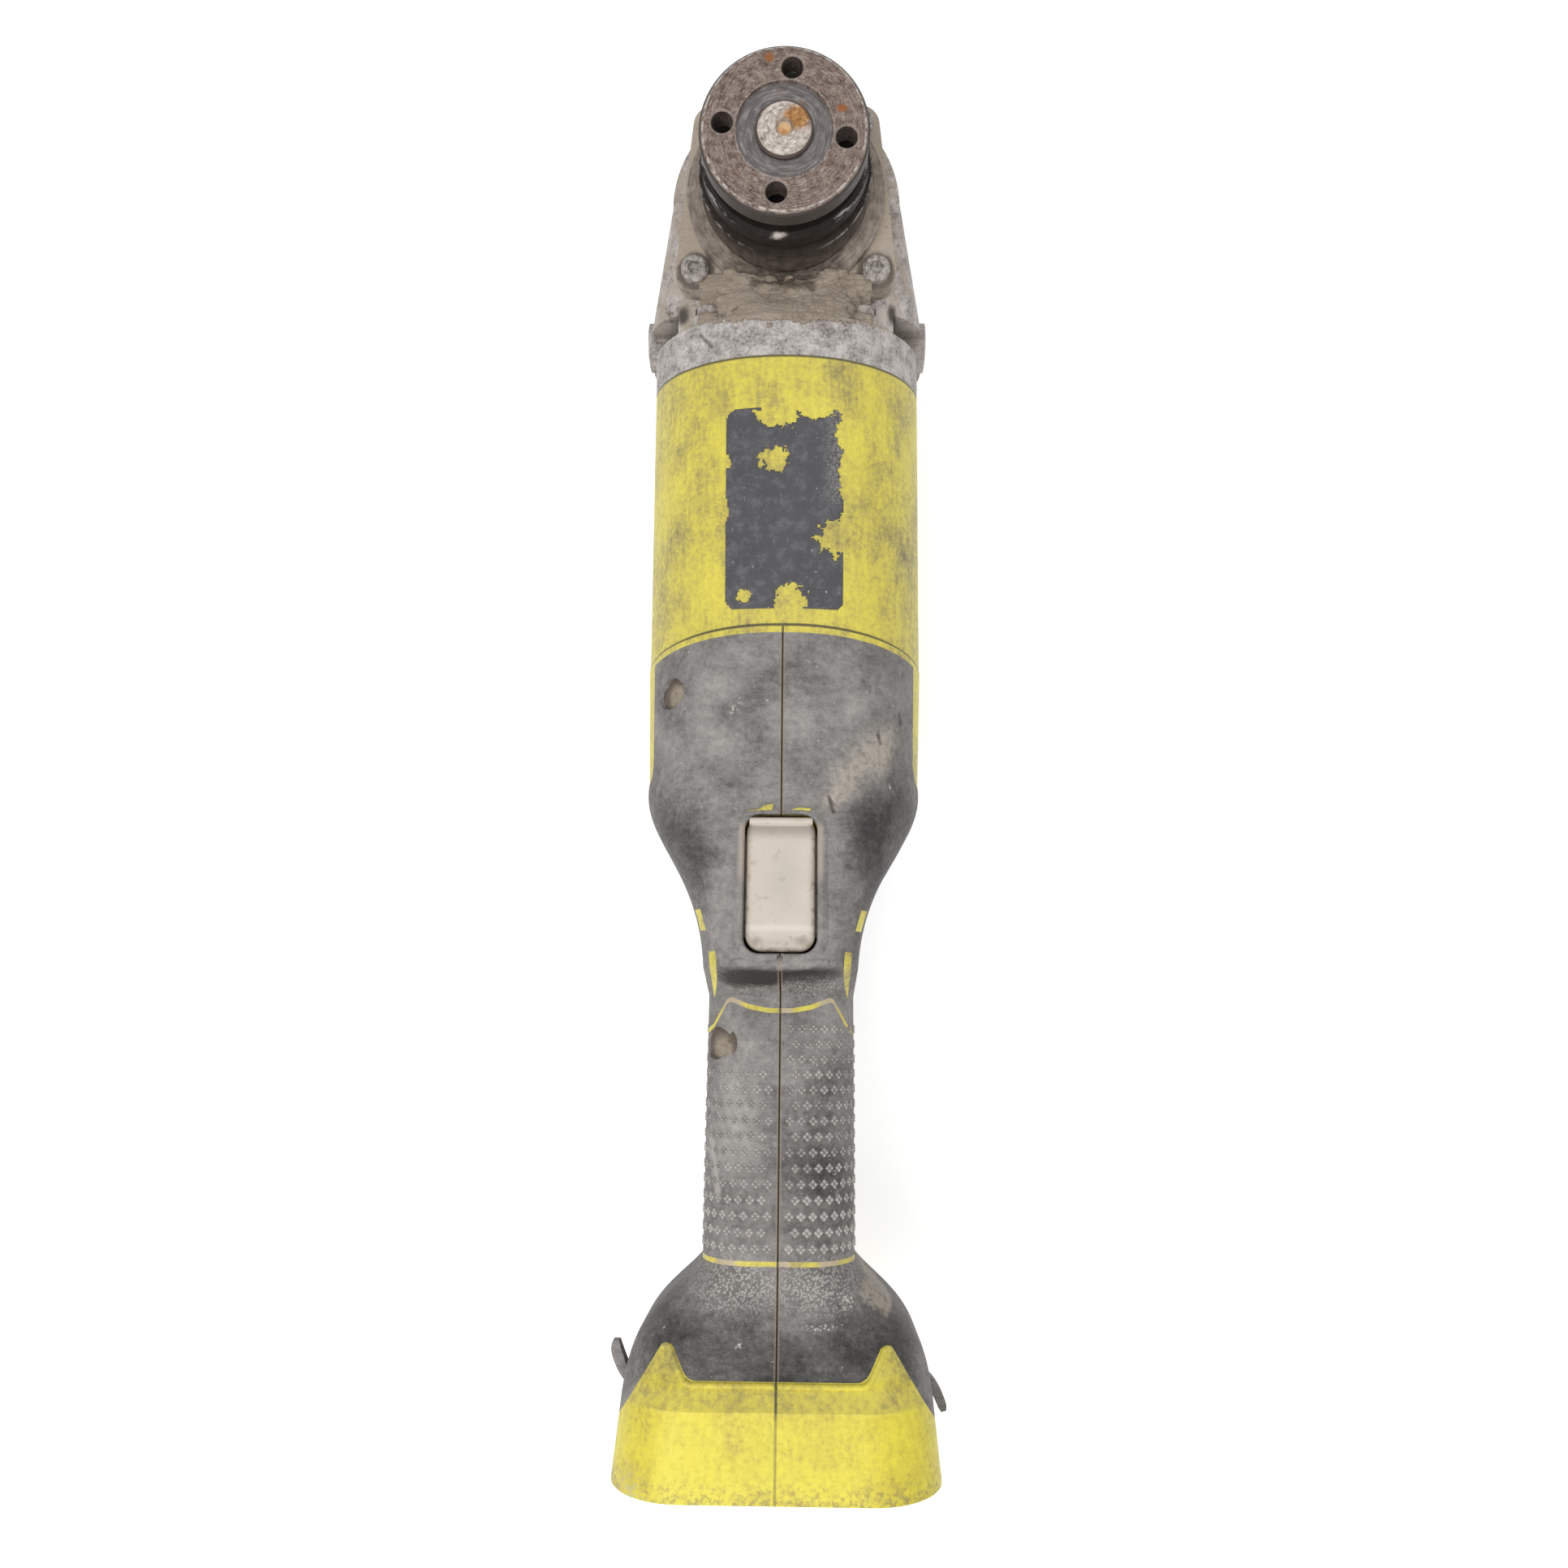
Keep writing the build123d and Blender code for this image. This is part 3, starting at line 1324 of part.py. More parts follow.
# Openings through shell and rubber: trigger, lock-off bolt, vents and screw recesses
with BuildPart() as handle_cuts:
    with BuildSketch(front_plane(trigger_along, trigger_face - 2 * trigger_depth)):
        RectangleRounded(trigger_w + 2 * trigger_gap, trigger_len + 2 * trigger_gap, trigger_corner)
    extrude(amount=3 * trigger_depth)
    with BuildSketch(side_plane(zone_size / 2)):
        with Locations((lock_off_along, lock_off_out)):
            Circle(lock_off_d / 2 + lock_off_gap)
        with Locations((vent_along, vent_out)):
            with GridLocations(vent_pitch, 0, vent_count, 1):
                SlotOverall(vent_len, vent_w, rotation=90)
    extrude(amount=zone_size)
    for along, out, floor in handle_screw_places:
        with BuildSketch(side_plane(-floor)):
            with Locations((along, out)):
                Circle(handle_recess_r)
        extrude(amount=zone_size / 2)
        with BuildSketch(side_plane(handle_screw_len - floor + loose)):
            with Locations((along, out)):
                Circle(handle_screw_d / 2 + fit)
        extrude(amount=handle_screw_len + 2 * loose)

# Ribs inside the handle: screw bosses across it, and cradles for the switch and the terminal block
trigger_roof = trigger_face - trigger_wall
switch_top = trigger_roof - trigger_travel - loose
switch_bottom = switch_top - switch_h
cradle_top = trigger_face - trigger_depth - trigger_travel - loose
with BuildPart() as handle_ribs:
    with BuildSketch(side_plane(zone_size / 2)):
        with Locations(*[(along, out) for along, out, floor in handle_screw_places]):
            Circle(handle_boss_r)
        with Locations((trigger_along, (cradle_top + switch_bottom) / 2)):
            with GridLocations(cradle_pitch, 0, 2, 1):
                Rectangle(cradle_t, cradle_top - switch_bottom)
        with Locations((block_along + block_len / 2, 0)):
            Rectangle(cradle_t, block_h)
    extrude(amount=zone_size)
    with BuildSketch(handle_plane(trigger_along - switch_len / 2)):
        with Locations((0, switch_top - switch_h / 2)):
            Rectangle(switch_w + 2 * fit, switch_h)
    extrude(amount=switch_len, mode=Mode.SUBTRACT)
    with BuildSketch(handle_plane(block_along)):
        Rectangle(block_w + 2 * fit, block_h + 2 * fit)
    extrude(amount=block_len, mode=Mode.SUBTRACT)
    add(outer_form, mode=Mode.INTERSECT)

# Clamshell: the hollow handle with its ribs, less the rubber's places and the openings
with BuildPart() as handle_shell:
    add(outer_form)
    add(inner_form, mode=Mode.SUBTRACT)
    add(handle_ribs.part)
    for zone in (belly_zone, palm_zone, saddle_zone):
        add(zone.part, mode=Mode.SUBTRACT)
    add(handle_cuts.part, mode=Mode.SUBTRACT)

with BuildPart() as handle_left:
    add(handle_shell.part)
    split(bisect_by=Plane.YZ, keep=Keep.BOTTOM)
handle_left.part.label = "handle_left"
export_step(handle_left.part, "parts/handle_left.step")

with BuildPart() as handle_right:
    add(handle_shell.part)
    split(bisect_by=Plane.YZ, keep=Keep.TOP)
handle_right.part.label = "handle_right"
export_step(handle_right.part, "parts/handle_right.step")


def rubber(zone, side, keep):
    """Rubber piece of one zone on one half of the handle, with half of the seam's gap left open."""
    with BuildPart() as made:
        add(outer_form)
        add(zone.part, mode=Mode.INTERSECT)
        add(handle_cuts.part, mode=Mode.SUBTRACT)
        split(bisect_by=Plane.YZ.offset(side * rubber_seam / 2), keep=keep)
    return made.part


with BuildPart() as belly_grip_left:
    add(rubber(belly_zone, -1, Keep.BOTTOM))
belly_grip_left.part.label = "belly_grip_left"
export_step(belly_grip_left.part, "parts/belly_grip_left.step")

with BuildPart() as belly_grip_right:
    add(rubber(belly_zone, 1, Keep.TOP))
belly_grip_right.part.label = "belly_grip_right"
export_step(belly_grip_right.part, "parts/belly_grip_right.step")

with BuildPart() as palm_grip_left:
    add(rubber(palm_zone, -1, Keep.BOTTOM))
palm_grip_left.part.label = "palm_grip_left"
export_step(palm_grip_left.part, "parts/palm_grip_left.step")

with BuildPart() as palm_grip_right:
    add(rubber(palm_zone, 1, Keep.TOP))
palm_grip_right.part.label = "palm_grip_right"
export_step(palm_grip_right.part, "parts/palm_grip_right.step")

with BuildPart() as foot_bumper_left:
    add(rubber(saddle_zone, -1, Keep.BOTTOM))
foot_bumper_left.part.label = "foot_bumper_left"
export_step(foot_bumper_left.part, "parts/foot_bumper_left.step")

with BuildPart() as foot_bumper_right:
    add(rubber(saddle_zone, 1, Keep.TOP))
foot_bumper_right.part.label = "foot_bumper_right"
export_step(foot_bumper_right.part, "parts/foot_bumper_right.step")

# Screws that close the clamshell, their heads deep in the recesses of the left half
with BuildPart() as handle_screws:
    for along, out, floor in handle_screw_places:
        with BuildSketch(side_plane(-floor)):
            with Locations((along, out)):
                Circle(handle_head_d / 2)
        extrude(amount=handle_head_h)
        with BuildSketch(side_plane(-floor - handle_head_h)):
            with Locations((along, out)):
                RegularPolygon(socket_r, 6)
        extrude(amount=-handle_head_h / 2, mode=Mode.SUBTRACT)
        with BuildSketch(side_plane(-floor)):
            with Locations((along, out)):
                Circle(handle_screw_d / 2)
        extrude(amount=-handle_screw_len)
handle_screws.part.label = "handle_screws"
export_step(handle_screws.part, "parts/handle_screws.step")

# Trigger: a hollow cap with side flanges that keep it in the handle
with BuildPart() as trigger:
    with BuildSketch(front_plane(trigger_along, trigger_face)):
        RectangleRounded(trigger_w, trigger_len, trigger_corner)
    extrude(amount=-trigger_depth)
    fillet(trigger.faces().sort_by(Axis((0, 0, 0), (0, sin(tilt), cos(tilt))))[-1].edges(), trigger_wall)
    with BuildSketch(front_plane(trigger_along, trigger_face - trigger_depth)):
        Rectangle(trigger_w + 2 * trigger_flange, trigger_len - 2 * trigger_corner)
    extrude(amount=trigger_flange)
    with BuildSketch(front_plane(trigger_along, trigger_face - trigger_depth)):
        Rectangle(trigger_w - 2 * trigger_wall, trigger_len - 2 * trigger_wall)
    extrude(amount=trigger_depth - trigger_wall, mode=Mode.SUBTRACT)
trigger.part.label = "trigger"
export_step(trigger.part, "parts/trigger.step")

# Switch: its body in the cradle, the plunger that the trigger pushes, and the return spring
trigger_spring_r = plunger_d / 2 + loose + spring_wire_d / 2
with BuildPart() as switch_body:
    with BuildSketch(front_plane(trigger_along, switch_top)):
        Rectangle(switch_w, switch_len)
    extrude(amount=-switch_h)
    with BuildSketch(front_plane(trigger_along, switch_top)):
        Circle(plunger_d / 2 + fit)
    extrude(amount=trigger_roof - plunger_len - trigger_travel - loose - switch_top, mode=Mode.SUBTRACT)
    with BuildSketch(front_plane(trigger_along, switch_top)):
        Circle(trigger_spring_r + spring_wire_d / 2 + loose)
    extrude(amount=-spring_pocket, mode=Mode.SUBTRACT)
switch_body.part.label = "switch_body"
export_step(switch_body.part, "parts/switch_body.step")

with BuildPart() as switch_plunger:
    with BuildSketch(front_plane(trigger_along, trigger_roof)):
        Circle(plunger_d / 2)
    extrude(amount=-plunger_len)
switch_plunger.part.label = "switch_plunger"
export_step(switch_plunger.part, "parts/switch_plunger.step")

with BuildPart() as trigger_spring:
    add(
        spring(
            handle_point(0, trigger_along, switch_top - spring_pocket),
            (0, sin(tilt), cos(tilt)),
            trigger_spring_r,
            trigger_roof - switch_top + spring_pocket,
            trigger_spring_turns,
        )
    )
trigger_spring.part.label = "trigger_spring"
export_step(trigger_spring.part, "parts/trigger_spring.step")

# Lock-off bolt across the neck, waisted in the middle
lock_off_half_len = neck_sections[-1][1] - lock_off_sunk
with BuildPart() as lock_off_bolt:
    with BuildSketch(side_plane(lock_off_half_len)):
        with Locations((lock_off_along, lock_off_out)):
            Circle(lock_off_d / 2)
    extrude(amount=2 * lock_off_half_len)
    fillet(lock_off_bolt.edges().group_by(Axis.X)[0], lock_off_edge)
    fillet(lock_off_bolt.edges().group_by(Axis.X)[-1], lock_off_edge)
    with BuildSketch(side_plane(lock_off_waist / 2)):
        with Locations((lock_off_along, lock_off_out)):
            Circle(lock_off_d)
            Circle(lock_off_neck_d / 2, mode=Mode.SUBTRACT)
    extrude(amount=lock_off_waist, mode=Mode.SUBTRACT)
lock_off_bolt.part.label = "lock_off_bolt"
export_step(lock_off_bolt.part, "parts/lock_off_bolt.step")

# Battery terminals: a block across the grip with three blades towards the foot
with BuildPart() as terminal_block:
    with BuildSketch(handle_plane(block_along)):
        Rectangle(block_w, block_h)
    extrude(amount=block_len)
terminal_block.part.label = "terminal_block"
export_step(terminal_block.part, "parts/terminal_block.step")

with BuildPart() as battery_terminals:
    with BuildSketch(handle_plane(block_along + block_len)):
        with GridLocations(blade_pitch, 0, 3, 1):
            Rectangle(blade_t, blade_w)
    extrude(amount=blade_len)
battery_terminals.part.label = "battery_terminals"
export_step(battery_terminals.part, "parts/battery_terminals.step")


def lead(points):
    """Insulated wire along straight runs joined by tangent arcs as large as the runs allow."""
    runs = [after - before for before, after in zip(points, points[1:])]
    radii = []
    for before, after in zip(runs, runs[1:]):
        turn = radians(before.get_angle(after))
        radii.append(bend_share * min(before.length, after.length) / tan(turn / 2))
    with BuildPart() as made:
        with BuildLine() as path:
            FilletPolyline(*points, radius=radii)
        with BuildSketch(Plane(points[0], z_dir=runs[0])):
            Circle(lead_d / 2)
        sweep(path=path.wires()[0])
    return made.part


# Leads from the terminal block to the switch, and from the switch to the brush plate
switch_rear = trigger_along + switch_len / 2
switch_front = trigger_along - switch_len / 2
battery_lead_ends = [(block_along, battery_lead_route[0][1]), (switch_rear, battery_lead_route[-1][1])]
battery_lead_places = battery_lead_ends[:1] + battery_lead_route + battery_lead_ends[1:]
with BuildPart() as battery_leads:
    for side in (-1, 1):
        add(lead([handle_point(side * battery_lead_x, along, out) for along, out in battery_lead_places]))
battery_leads.part.label = "battery_leads"
export_step(battery_leads.part, "parts/battery_leads.step")

switch_middle = (switch_top + switch_bottom) / 2
motor_lead_end = (motor_lead_route[-1][0], plate_rear, motor_lead_route[-1][2])
with BuildPart() as motor_leads:
    for side in (-1, 1):
        first_run = (switch_front, motor_lead_start)
        start = [handle_point(side * motor_lead_x, along, switch_middle) for along in first_run]
        rest = [Vector(side * x, y, z) for x, y, z in motor_lead_route + [motor_lead_end]]
        add(lead(start + rest))
motor_leads.part.label = "motor_leads"
export_step(motor_leads.part, "parts/motor_leads.step")
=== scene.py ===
# %% [markdown]
# # A cordless angle grinder on its back
#
# The solid pieces of the grinder come from the CAD frame. This lesson dresses them: a camera that stands
# where the photographer stood, soft studio light, worn finishes made only from procedural nodes, and the
# small things that a CAD model leaves out, such as grip dots, a scuffed label and caked dust.

# %% Load the frame
import json
from math import cos, exp, hypot, pi, radians, sin, sqrt

import bmesh
import bpy
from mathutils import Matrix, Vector, noise as field
from mathutils.bvhtree import BVHTree


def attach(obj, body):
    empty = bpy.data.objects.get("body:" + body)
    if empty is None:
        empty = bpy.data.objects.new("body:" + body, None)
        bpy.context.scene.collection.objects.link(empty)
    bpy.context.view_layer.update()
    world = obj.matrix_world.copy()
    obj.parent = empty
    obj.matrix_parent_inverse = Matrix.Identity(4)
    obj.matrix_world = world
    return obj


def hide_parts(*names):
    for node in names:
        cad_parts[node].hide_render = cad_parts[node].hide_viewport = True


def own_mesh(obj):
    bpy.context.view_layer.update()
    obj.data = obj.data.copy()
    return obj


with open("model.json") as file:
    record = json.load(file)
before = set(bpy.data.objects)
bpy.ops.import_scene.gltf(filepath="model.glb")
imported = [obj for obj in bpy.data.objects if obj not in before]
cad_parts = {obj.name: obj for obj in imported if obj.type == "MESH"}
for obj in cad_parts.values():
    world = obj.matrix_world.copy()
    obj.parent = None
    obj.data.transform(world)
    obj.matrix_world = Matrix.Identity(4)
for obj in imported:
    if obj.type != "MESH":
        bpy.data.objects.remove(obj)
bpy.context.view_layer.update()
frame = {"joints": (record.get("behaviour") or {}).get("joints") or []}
mm = 0.001
nodes = {thing.name: thing for thing in bpy.data.objects if thing.type == "MESH"}

# %% [markdown]
# ## Places on the tool
#
# The handle leans away from the barrel, so a helper turns a place on the handle (across, along and out of
# its own axis, in millimetres) into the frame. Pieces that lie on the tool ask the CAD meshes where their
# skin is: a search tree is built over some nodes, and a ray shot at it comes back with the first hit.

# %% Places on the tool
AXIS_Z = -53.0
BEND_Y = -135.0
TILT = radians(12.5)
OUTWARDS = Vector((0.0, sin(TILT), cos(TILT)))
FAR = 80.0
RUBBER = ["belly_grip_left", "belly_grip_right", "palm_grip_left", "palm_grip_right", "foot_bumper_left",
          "foot_bumper_right"]


def on_handle(across, along, out):
    """A place on the handle, given in millimetres, as a point of the frame in metres."""
    y = BEND_Y + out * sin(TILT) - along * cos(TILT)
    z = AXIS_Z + along * sin(TILT) + out * cos(TILT)
    return Vector((across, y, z)) * mm


def skin_of(*names):
    """A search tree over the meshes of the named CAD nodes."""
    points, faces = [], []
    for name in names:
        thing = nodes[name]
        start = len(points)
        points += [thing.matrix_world @ corner.co for corner in thing.data.vertices]
        faces += [[start + i for i in face.vertices] for face in thing.data.polygons]
    return BVHTree.FromPolygons(points, faces)


bpy.context.view_layer.update()
handle_skin = skin_of("handle_left", "handle_right", *RUBBER)
head_skin = skin_of("gear_case", "bearing_cover")
barrel_skin = skin_of("motor_housing")


def height_at(skin, x, y):
    """Height of a skin seen from above, in millimetres."""
    return skin.ray_cast(Vector((x, y, FAR)) * mm, Vector((0.0, 0.0, -1.0)))[0].z / mm


def front_at(across, along):
    """How far out the handle's front stands."""
    return FAR - handle_skin.ray_cast(on_handle(across, along, FAR), -OUTWARDS)[3] / mm


def flank_at(side, along, out):
    """How far sideways the handle's flank stands; side is -1 or 1."""
    return FAR - handle_skin.ray_cast(on_handle(side * FAR, along, out), Vector((-side, 0.0, 0.0)))[3] / mm


print("handle front at the foot:", round(front_at(10.0, 180.0), 1), "mm")

# %% [markdown]
# ## Camera and studio
#
# The photograph was taken from straight above the middle of the tool with a short lens, so the gear head
# and the foot lean away from the middle. A 25 mm lens at 0.27 m gives the same lean. Two soft lamps and a
# pale world light the tool. Rays from the camera, and rays mirrored by metal, see a full white world.

# %% Camera and studio
CAMERA_PLACE = (0.0049864, -0.15756, 0.26827)
CAMERA_TURN = (0.0068, 0.0156, 0.0064)
LENS = 25.09
SENSOR_W = 36.0
NEAR_CLIP = 0.01
STUDIO_MIDDLE = (0.0, -0.15, -0.05)
WORLD_LIGHT = 0.55
WORLD_WHITE = 1.0

camera_data = bpy.data.cameras.new("camera")
camera_data.lens = LENS
camera_data.sensor_width = SENSOR_W
camera_data.clip_start = NEAR_CLIP
camera = bpy.data.objects.new("camera", camera_data)
camera.location = CAMERA_PLACE
camera.rotation_euler = CAMERA_TURN
bpy.context.scene.collection.objects.link(camera)
bpy.context.scene.camera = camera
bpy.context.scene.view_settings.view_transform = "Standard"


def soft_light(name, place, size, watts):
    """A square lamp at place that faces the middle of the tool."""
    lamp = bpy.data.lights.new(name, "AREA")
    lamp.size = size
    lamp.energy = watts
    thing = bpy.data.objects.new(name, lamp)
    thing.location = place
    thing.rotation_euler = (Vector(STUDIO_MIDDLE) - Vector(place)).to_track_quat("-Z", "Y").to_euler()
    bpy.context.scene.collection.objects.link(thing)


def background_rays(tree):
    """1 on the rays that see the white background: those of the camera, and those from metal and glass."""
    rays = tree.nodes.new("ShaderNodeLightPath")
    seen = rays.outputs["Is Camera Ray"]
    for kind in ("Is Glossy Ray", "Is Transmission Ray"):
        either = tree.nodes.new("ShaderNodeMath")
        either.operation = "MAXIMUM"
        tree.links.new(seen, either.inputs[0])
        tree.links.new(rays.outputs[kind], either.inputs[1])
        seen = either.outputs[0]
    return seen


soft_light("key_lamp", (-0.26, -0.46, 0.75), 0.7, 4.7)
soft_light("fill_lamp", (0.45, 0.15, 0.60), 0.6, 0.9)

world = bpy.data.worlds.new("studio")
world.use_nodes = True
bpy.context.scene.world = world
sky = world.node_tree.nodes["Background"]
sky.inputs["Color"].default_value = (1.0, 1.0, 1.0, 1.0)
level = world.node_tree.nodes.new("ShaderNodeMapRange")
level.inputs["To Min"].default_value = WORLD_LIGHT
level.inputs["To Max"].default_value = WORLD_WHITE
world.node_tree.links.new(background_rays(world.node_tree), level.inputs["Value"])
world.node_tree.links.new(level.outputs["Result"], sky.inputs["Strength"])
print("camera and two lamps")

# %% [markdown]
# ## A small kit for finishes
#
# Every finish is built from the same few moves: a noise field, a soft rise or fall that turns a value into
# a mask, a coat of a tint laid over the colour so far by a mask, and a bump. Places are the frame's own, in
# millimetres, so a mask can say where on the tool it works. Values add and multiply with the usual signs,
# and each sign adds one node, so a finish reads like a short sum.

# %% The finish kit
class Value:
    """A number that varies over a surface. Signs make new ones; a | b is the larger of two."""

    def __init__(self, finish, socket):
        self.finish = finish
        self.socket = socket

    def __add__(self, other):
        return self.finish.math("ADD", self, other)

    def __sub__(self, other):
        return self.finish.math("SUBTRACT", self, other)

    def __rsub__(self, other):
        return self.finish.math("SUBTRACT", other, self)

    def __mul__(self, other):
        return self.finish.math("MULTIPLY", self, other)

    def __truediv__(self, other):
        return self.finish.math("DIVIDE", self, other)

    def __pow__(self, other):
        return self.finish.math("POWER", self, other)

    def __or__(self, other):
        return self.finish.math("MAXIMUM", self, other)

    def __abs__(self):
        return self.finish.math("ABSOLUTE", self)

    def rise(self, low, high, start=0.0, end=1.0, kind="SMOOTHSTEP"):
        """start up to low, end from high on."""
        inputs = {"Value": self, "From Min": low, "From Max": high, "To Min": start, "To Max": end}
        node = self.finish.add("ShaderNodeMapRange", inputs, interpolation_type=kind)
        return Value(self.finish, node.outputs["Result"])

    def fall(self, low, high):
        return self.rise(low, high, 1.0, 0.0)

    def band(self, low, full, drop, high):
        """0 up to low, 1 from full to drop, 0 from high on."""
        return self.rise(low, full) * self.fall(drop, high)


def most(values):
    """The largest of several values."""
    result = values[0]
    for value in values[1:]:
        result = result | value
    return result


def length(x, y):
    return (x * x + y * y) ** 0.5


class Finish:
    """One procedural material while it is being put together; its lengths are in millimetres."""

    def __init__(self, name):
        self.material = bpy.data.materials.new(name)
        self.material.use_nodes = True
        self.tree = self.material.node_tree
        self.shader = self.tree.nodes["Principled BSDF"]
        self.place = self.add("ShaderNodeTexCoord").outputs["Object"]
        self.colour = None
        self.normal = None

    def add(self, kind, inputs=None, **settings):
        """A new node with its settings, and its inputs filled by name or number."""
        node = self.tree.nodes.new(kind)
        for key, value in settings.items():
            setattr(node, key, value)
        for key, value in (inputs or {}).items():
            self.put(node.inputs[key], value)
        return node

    def put(self, socket, value):
        """Link a value to a socket, or set a plain number or colour on it."""
        if isinstance(value, Value):
            value = value.socket
        if isinstance(value, bpy.types.NodeSocket):
            self.tree.links.new(value, socket)
        elif isinstance(value, tuple) and len(value) == 3 and socket.type == "RGBA":
            socket.default_value = (*value, 1.0)
        else:
            socket.default_value = value

    def math(self, operation, first, second=0.0):
        node = self.add("ShaderNodeMath", {0: first, 1: second}, operation=operation)
        return Value(self, node.outputs[0])

    def axis(self, letter):
        node = self.add("ShaderNodeSeparateXYZ", {0: self.place})
        return Value(self, node.outputs[letter]) / mm

    def radius(self):
        """Distance from the spindle axis."""
        return length(self.axis("X"), self.axis("Y"))

    def past(self, start, lean):
        """Distance behind a leaning plane that crosses the tool's axis at start."""
        return (self.axis("Z") - AXIS_Z) * sin(lean) - (self.axis("Y") - start) * cos(lean)

    def along(self):
        """Distance along the handle from its bend."""
        return self.past(BEND_Y, TILT)

    def stretched(self, scale, turn=0.0):
        """Places scaled along each axis and turned about Z, for a noise that runs in streaks."""
        inputs = {"Vector": self.place, "Rotation": (0.0, 0.0, turn), "Scale": scale}
        return self.add("ShaderNodeMapping", inputs).outputs[0]

    def polar(self, twist):
        """Distance from the spindle axis and turn around it, as if all lay at the radius twist."""
        turn = self.math("ARCTAN2", self.axis("Y"), self.axis("X"))
        inputs = {0: self.radius() * mm, 1: turn * (twist * mm)}
        return self.add("ShaderNodeCombineXYZ", inputs).outputs[0]

    def noise(self, size, detail=4.0, rough=0.55, where=None):
        inputs = {"Vector": where or self.place, "Scale": 1.0 / (size * mm), "Detail": detail}
        node = self.add("ShaderNodeTexNoise", inputs | {"Roughness": rough})
        return Value(self, node.outputs[0])

    def cells(self, size, feature="F1", where=None):
        inputs = {"Vector": where or self.place, "Scale": 1.0 / (size * mm)}
        return Value(self, self.add("ShaderNodeTexVoronoi", inputs, feature=feature).outputs["Distance"])

    def soft_edge(self, reach, edge, ragged, size):
        """1 inside, falling to 0 where reach comes to 1; ragged roughens the outline."""
        if ragged:
            reach = reach + self.noise(size) * ragged - ragged / 2
        return reach.fall(1.0 - edge, 1.0)

    def blob(self, x, y, rx, ry, edge=0.5, ragged=0.0, size=3.0):
        """An ellipse seen from above."""
        reach = length((self.axis("X") - x) / rx, (self.axis("Y") - y) / ry)
        return self.soft_edge(reach, edge, ragged, size)

    def stroke(self, start, end, half_w, edge=0.5, ragged=0.0, size=2.0):
        """A line seen from above, from start to end."""
        dx, dy = end[0] - start[0], end[1] - start[1]
        x, y = self.axis("X") - start[0], self.axis("Y") - start[1]
        part = ((x * dx + y * dy) / (dx * dx + dy * dy)).rise(0.0, 1.0, kind="LINEAR")
        reach = length(x - part * dx, y - part * dy) / half_w
        return self.soft_edge(reach, edge, ragged, size)

    def mix(self, amount, first, second, blend="MIX"):
        inputs = {0: amount, 6: first, 7: second}
        return self.add("ShaderNodeMix", inputs, data_type="RGBA", blend_type=blend).outputs[2]

    def tones(self, value, *stops):
        """Colour picked by a value from stops of (place, colour)."""
        node = self.add("ShaderNodeValToRGB", {0: value})
        ramp = node.color_ramp
        while len(ramp.elements) < len(stops):
            ramp.elements.new(0.5)
        for element, (place, colour) in zip(ramp.elements, stops):
            element.position = place
            element.color = (*colour, 1.0)
        return node.outputs["Color"]

    def coat(self, mask, tint, amount=1.0):
        """Lay a tint over the colour so far, where the mask says, at most by amount."""
        self.colour = self.mix(mask * amount, self.colour, tint)

    def bump(self, height, depth, strength):
        inputs = {"Height": height, "Distance": depth * mm, "Strength": strength}
        if self.normal:
            inputs["Normal"] = self.normal
        self.normal = self.add("ShaderNodeBump", inputs).outputs["Normal"]

    def done(self, roughness, metallic=0.0, specular=0.5):
        inputs = {"Base Color": self.colour, "Roughness": roughness, "Metallic": metallic,
                  "Specular IOR Level": specular}
        if self.normal:
            inputs["Normal"] = self.normal
        for name, value in inputs.items():
            self.put(self.shader.inputs[name], value)
        return self.material


def dress(material, *names):
    """Give the named CAD nodes one finish."""
    for name in names:
        for slot in nodes[name].material_slots:
            slot.material = material


print("finish kit ready")

# %% [markdown]
# ## The floor
#
# White paper under the tool. Camera rays and mirrored rays see it a little lit by itself, so it stays white
# in the picture and in metal, while the tool's soft shadow still darkens it.

# %% The floor
FLOOR_Z = -86.0 * mm
FLOOR_SIZE = 8.0
PAPER_GLOW = 0.51

bpy.ops.mesh.primitive_plane_add(size=FLOOR_SIZE, location=(0.0, -0.15, FLOOR_Z))
floor = bpy.context.object
floor.name = "floor"
paper = Finish("paper")
paper.put(paper.shader.inputs["Emission Color"], (1.0, 1.0, 1.0))
glow = paper.math("MULTIPLY", background_rays(paper.tree), PAPER_GLOW)
paper.put(paper.shader.inputs["Emission Strength"], glow)
paper.colour = paper.mix(paper.noise(4.0, 3.0), (0.80, 0.80, 0.80), (0.84, 0.84, 0.84))
floor.data.materials.append(paper.done(0.9))
print("paper floor")

# %% [markdown]
# ## Lime plastic
#
# The motor housing and the handle are moulded in lime plastic. Years of work left grey smudges, fine
# scratches and dark dirt in the joints. The foot's lower face carries a painted highlight, lighter and
# yellower, and the lip above the saddle gets the same yellower tint. Smudges come from a soft noise pushed
# through a ramp of tones; scratches are a noise stretched along one direction.

# %% Lime plastic
JOINT_Y = -126.3
JOINT_LEAN = radians(17.0)


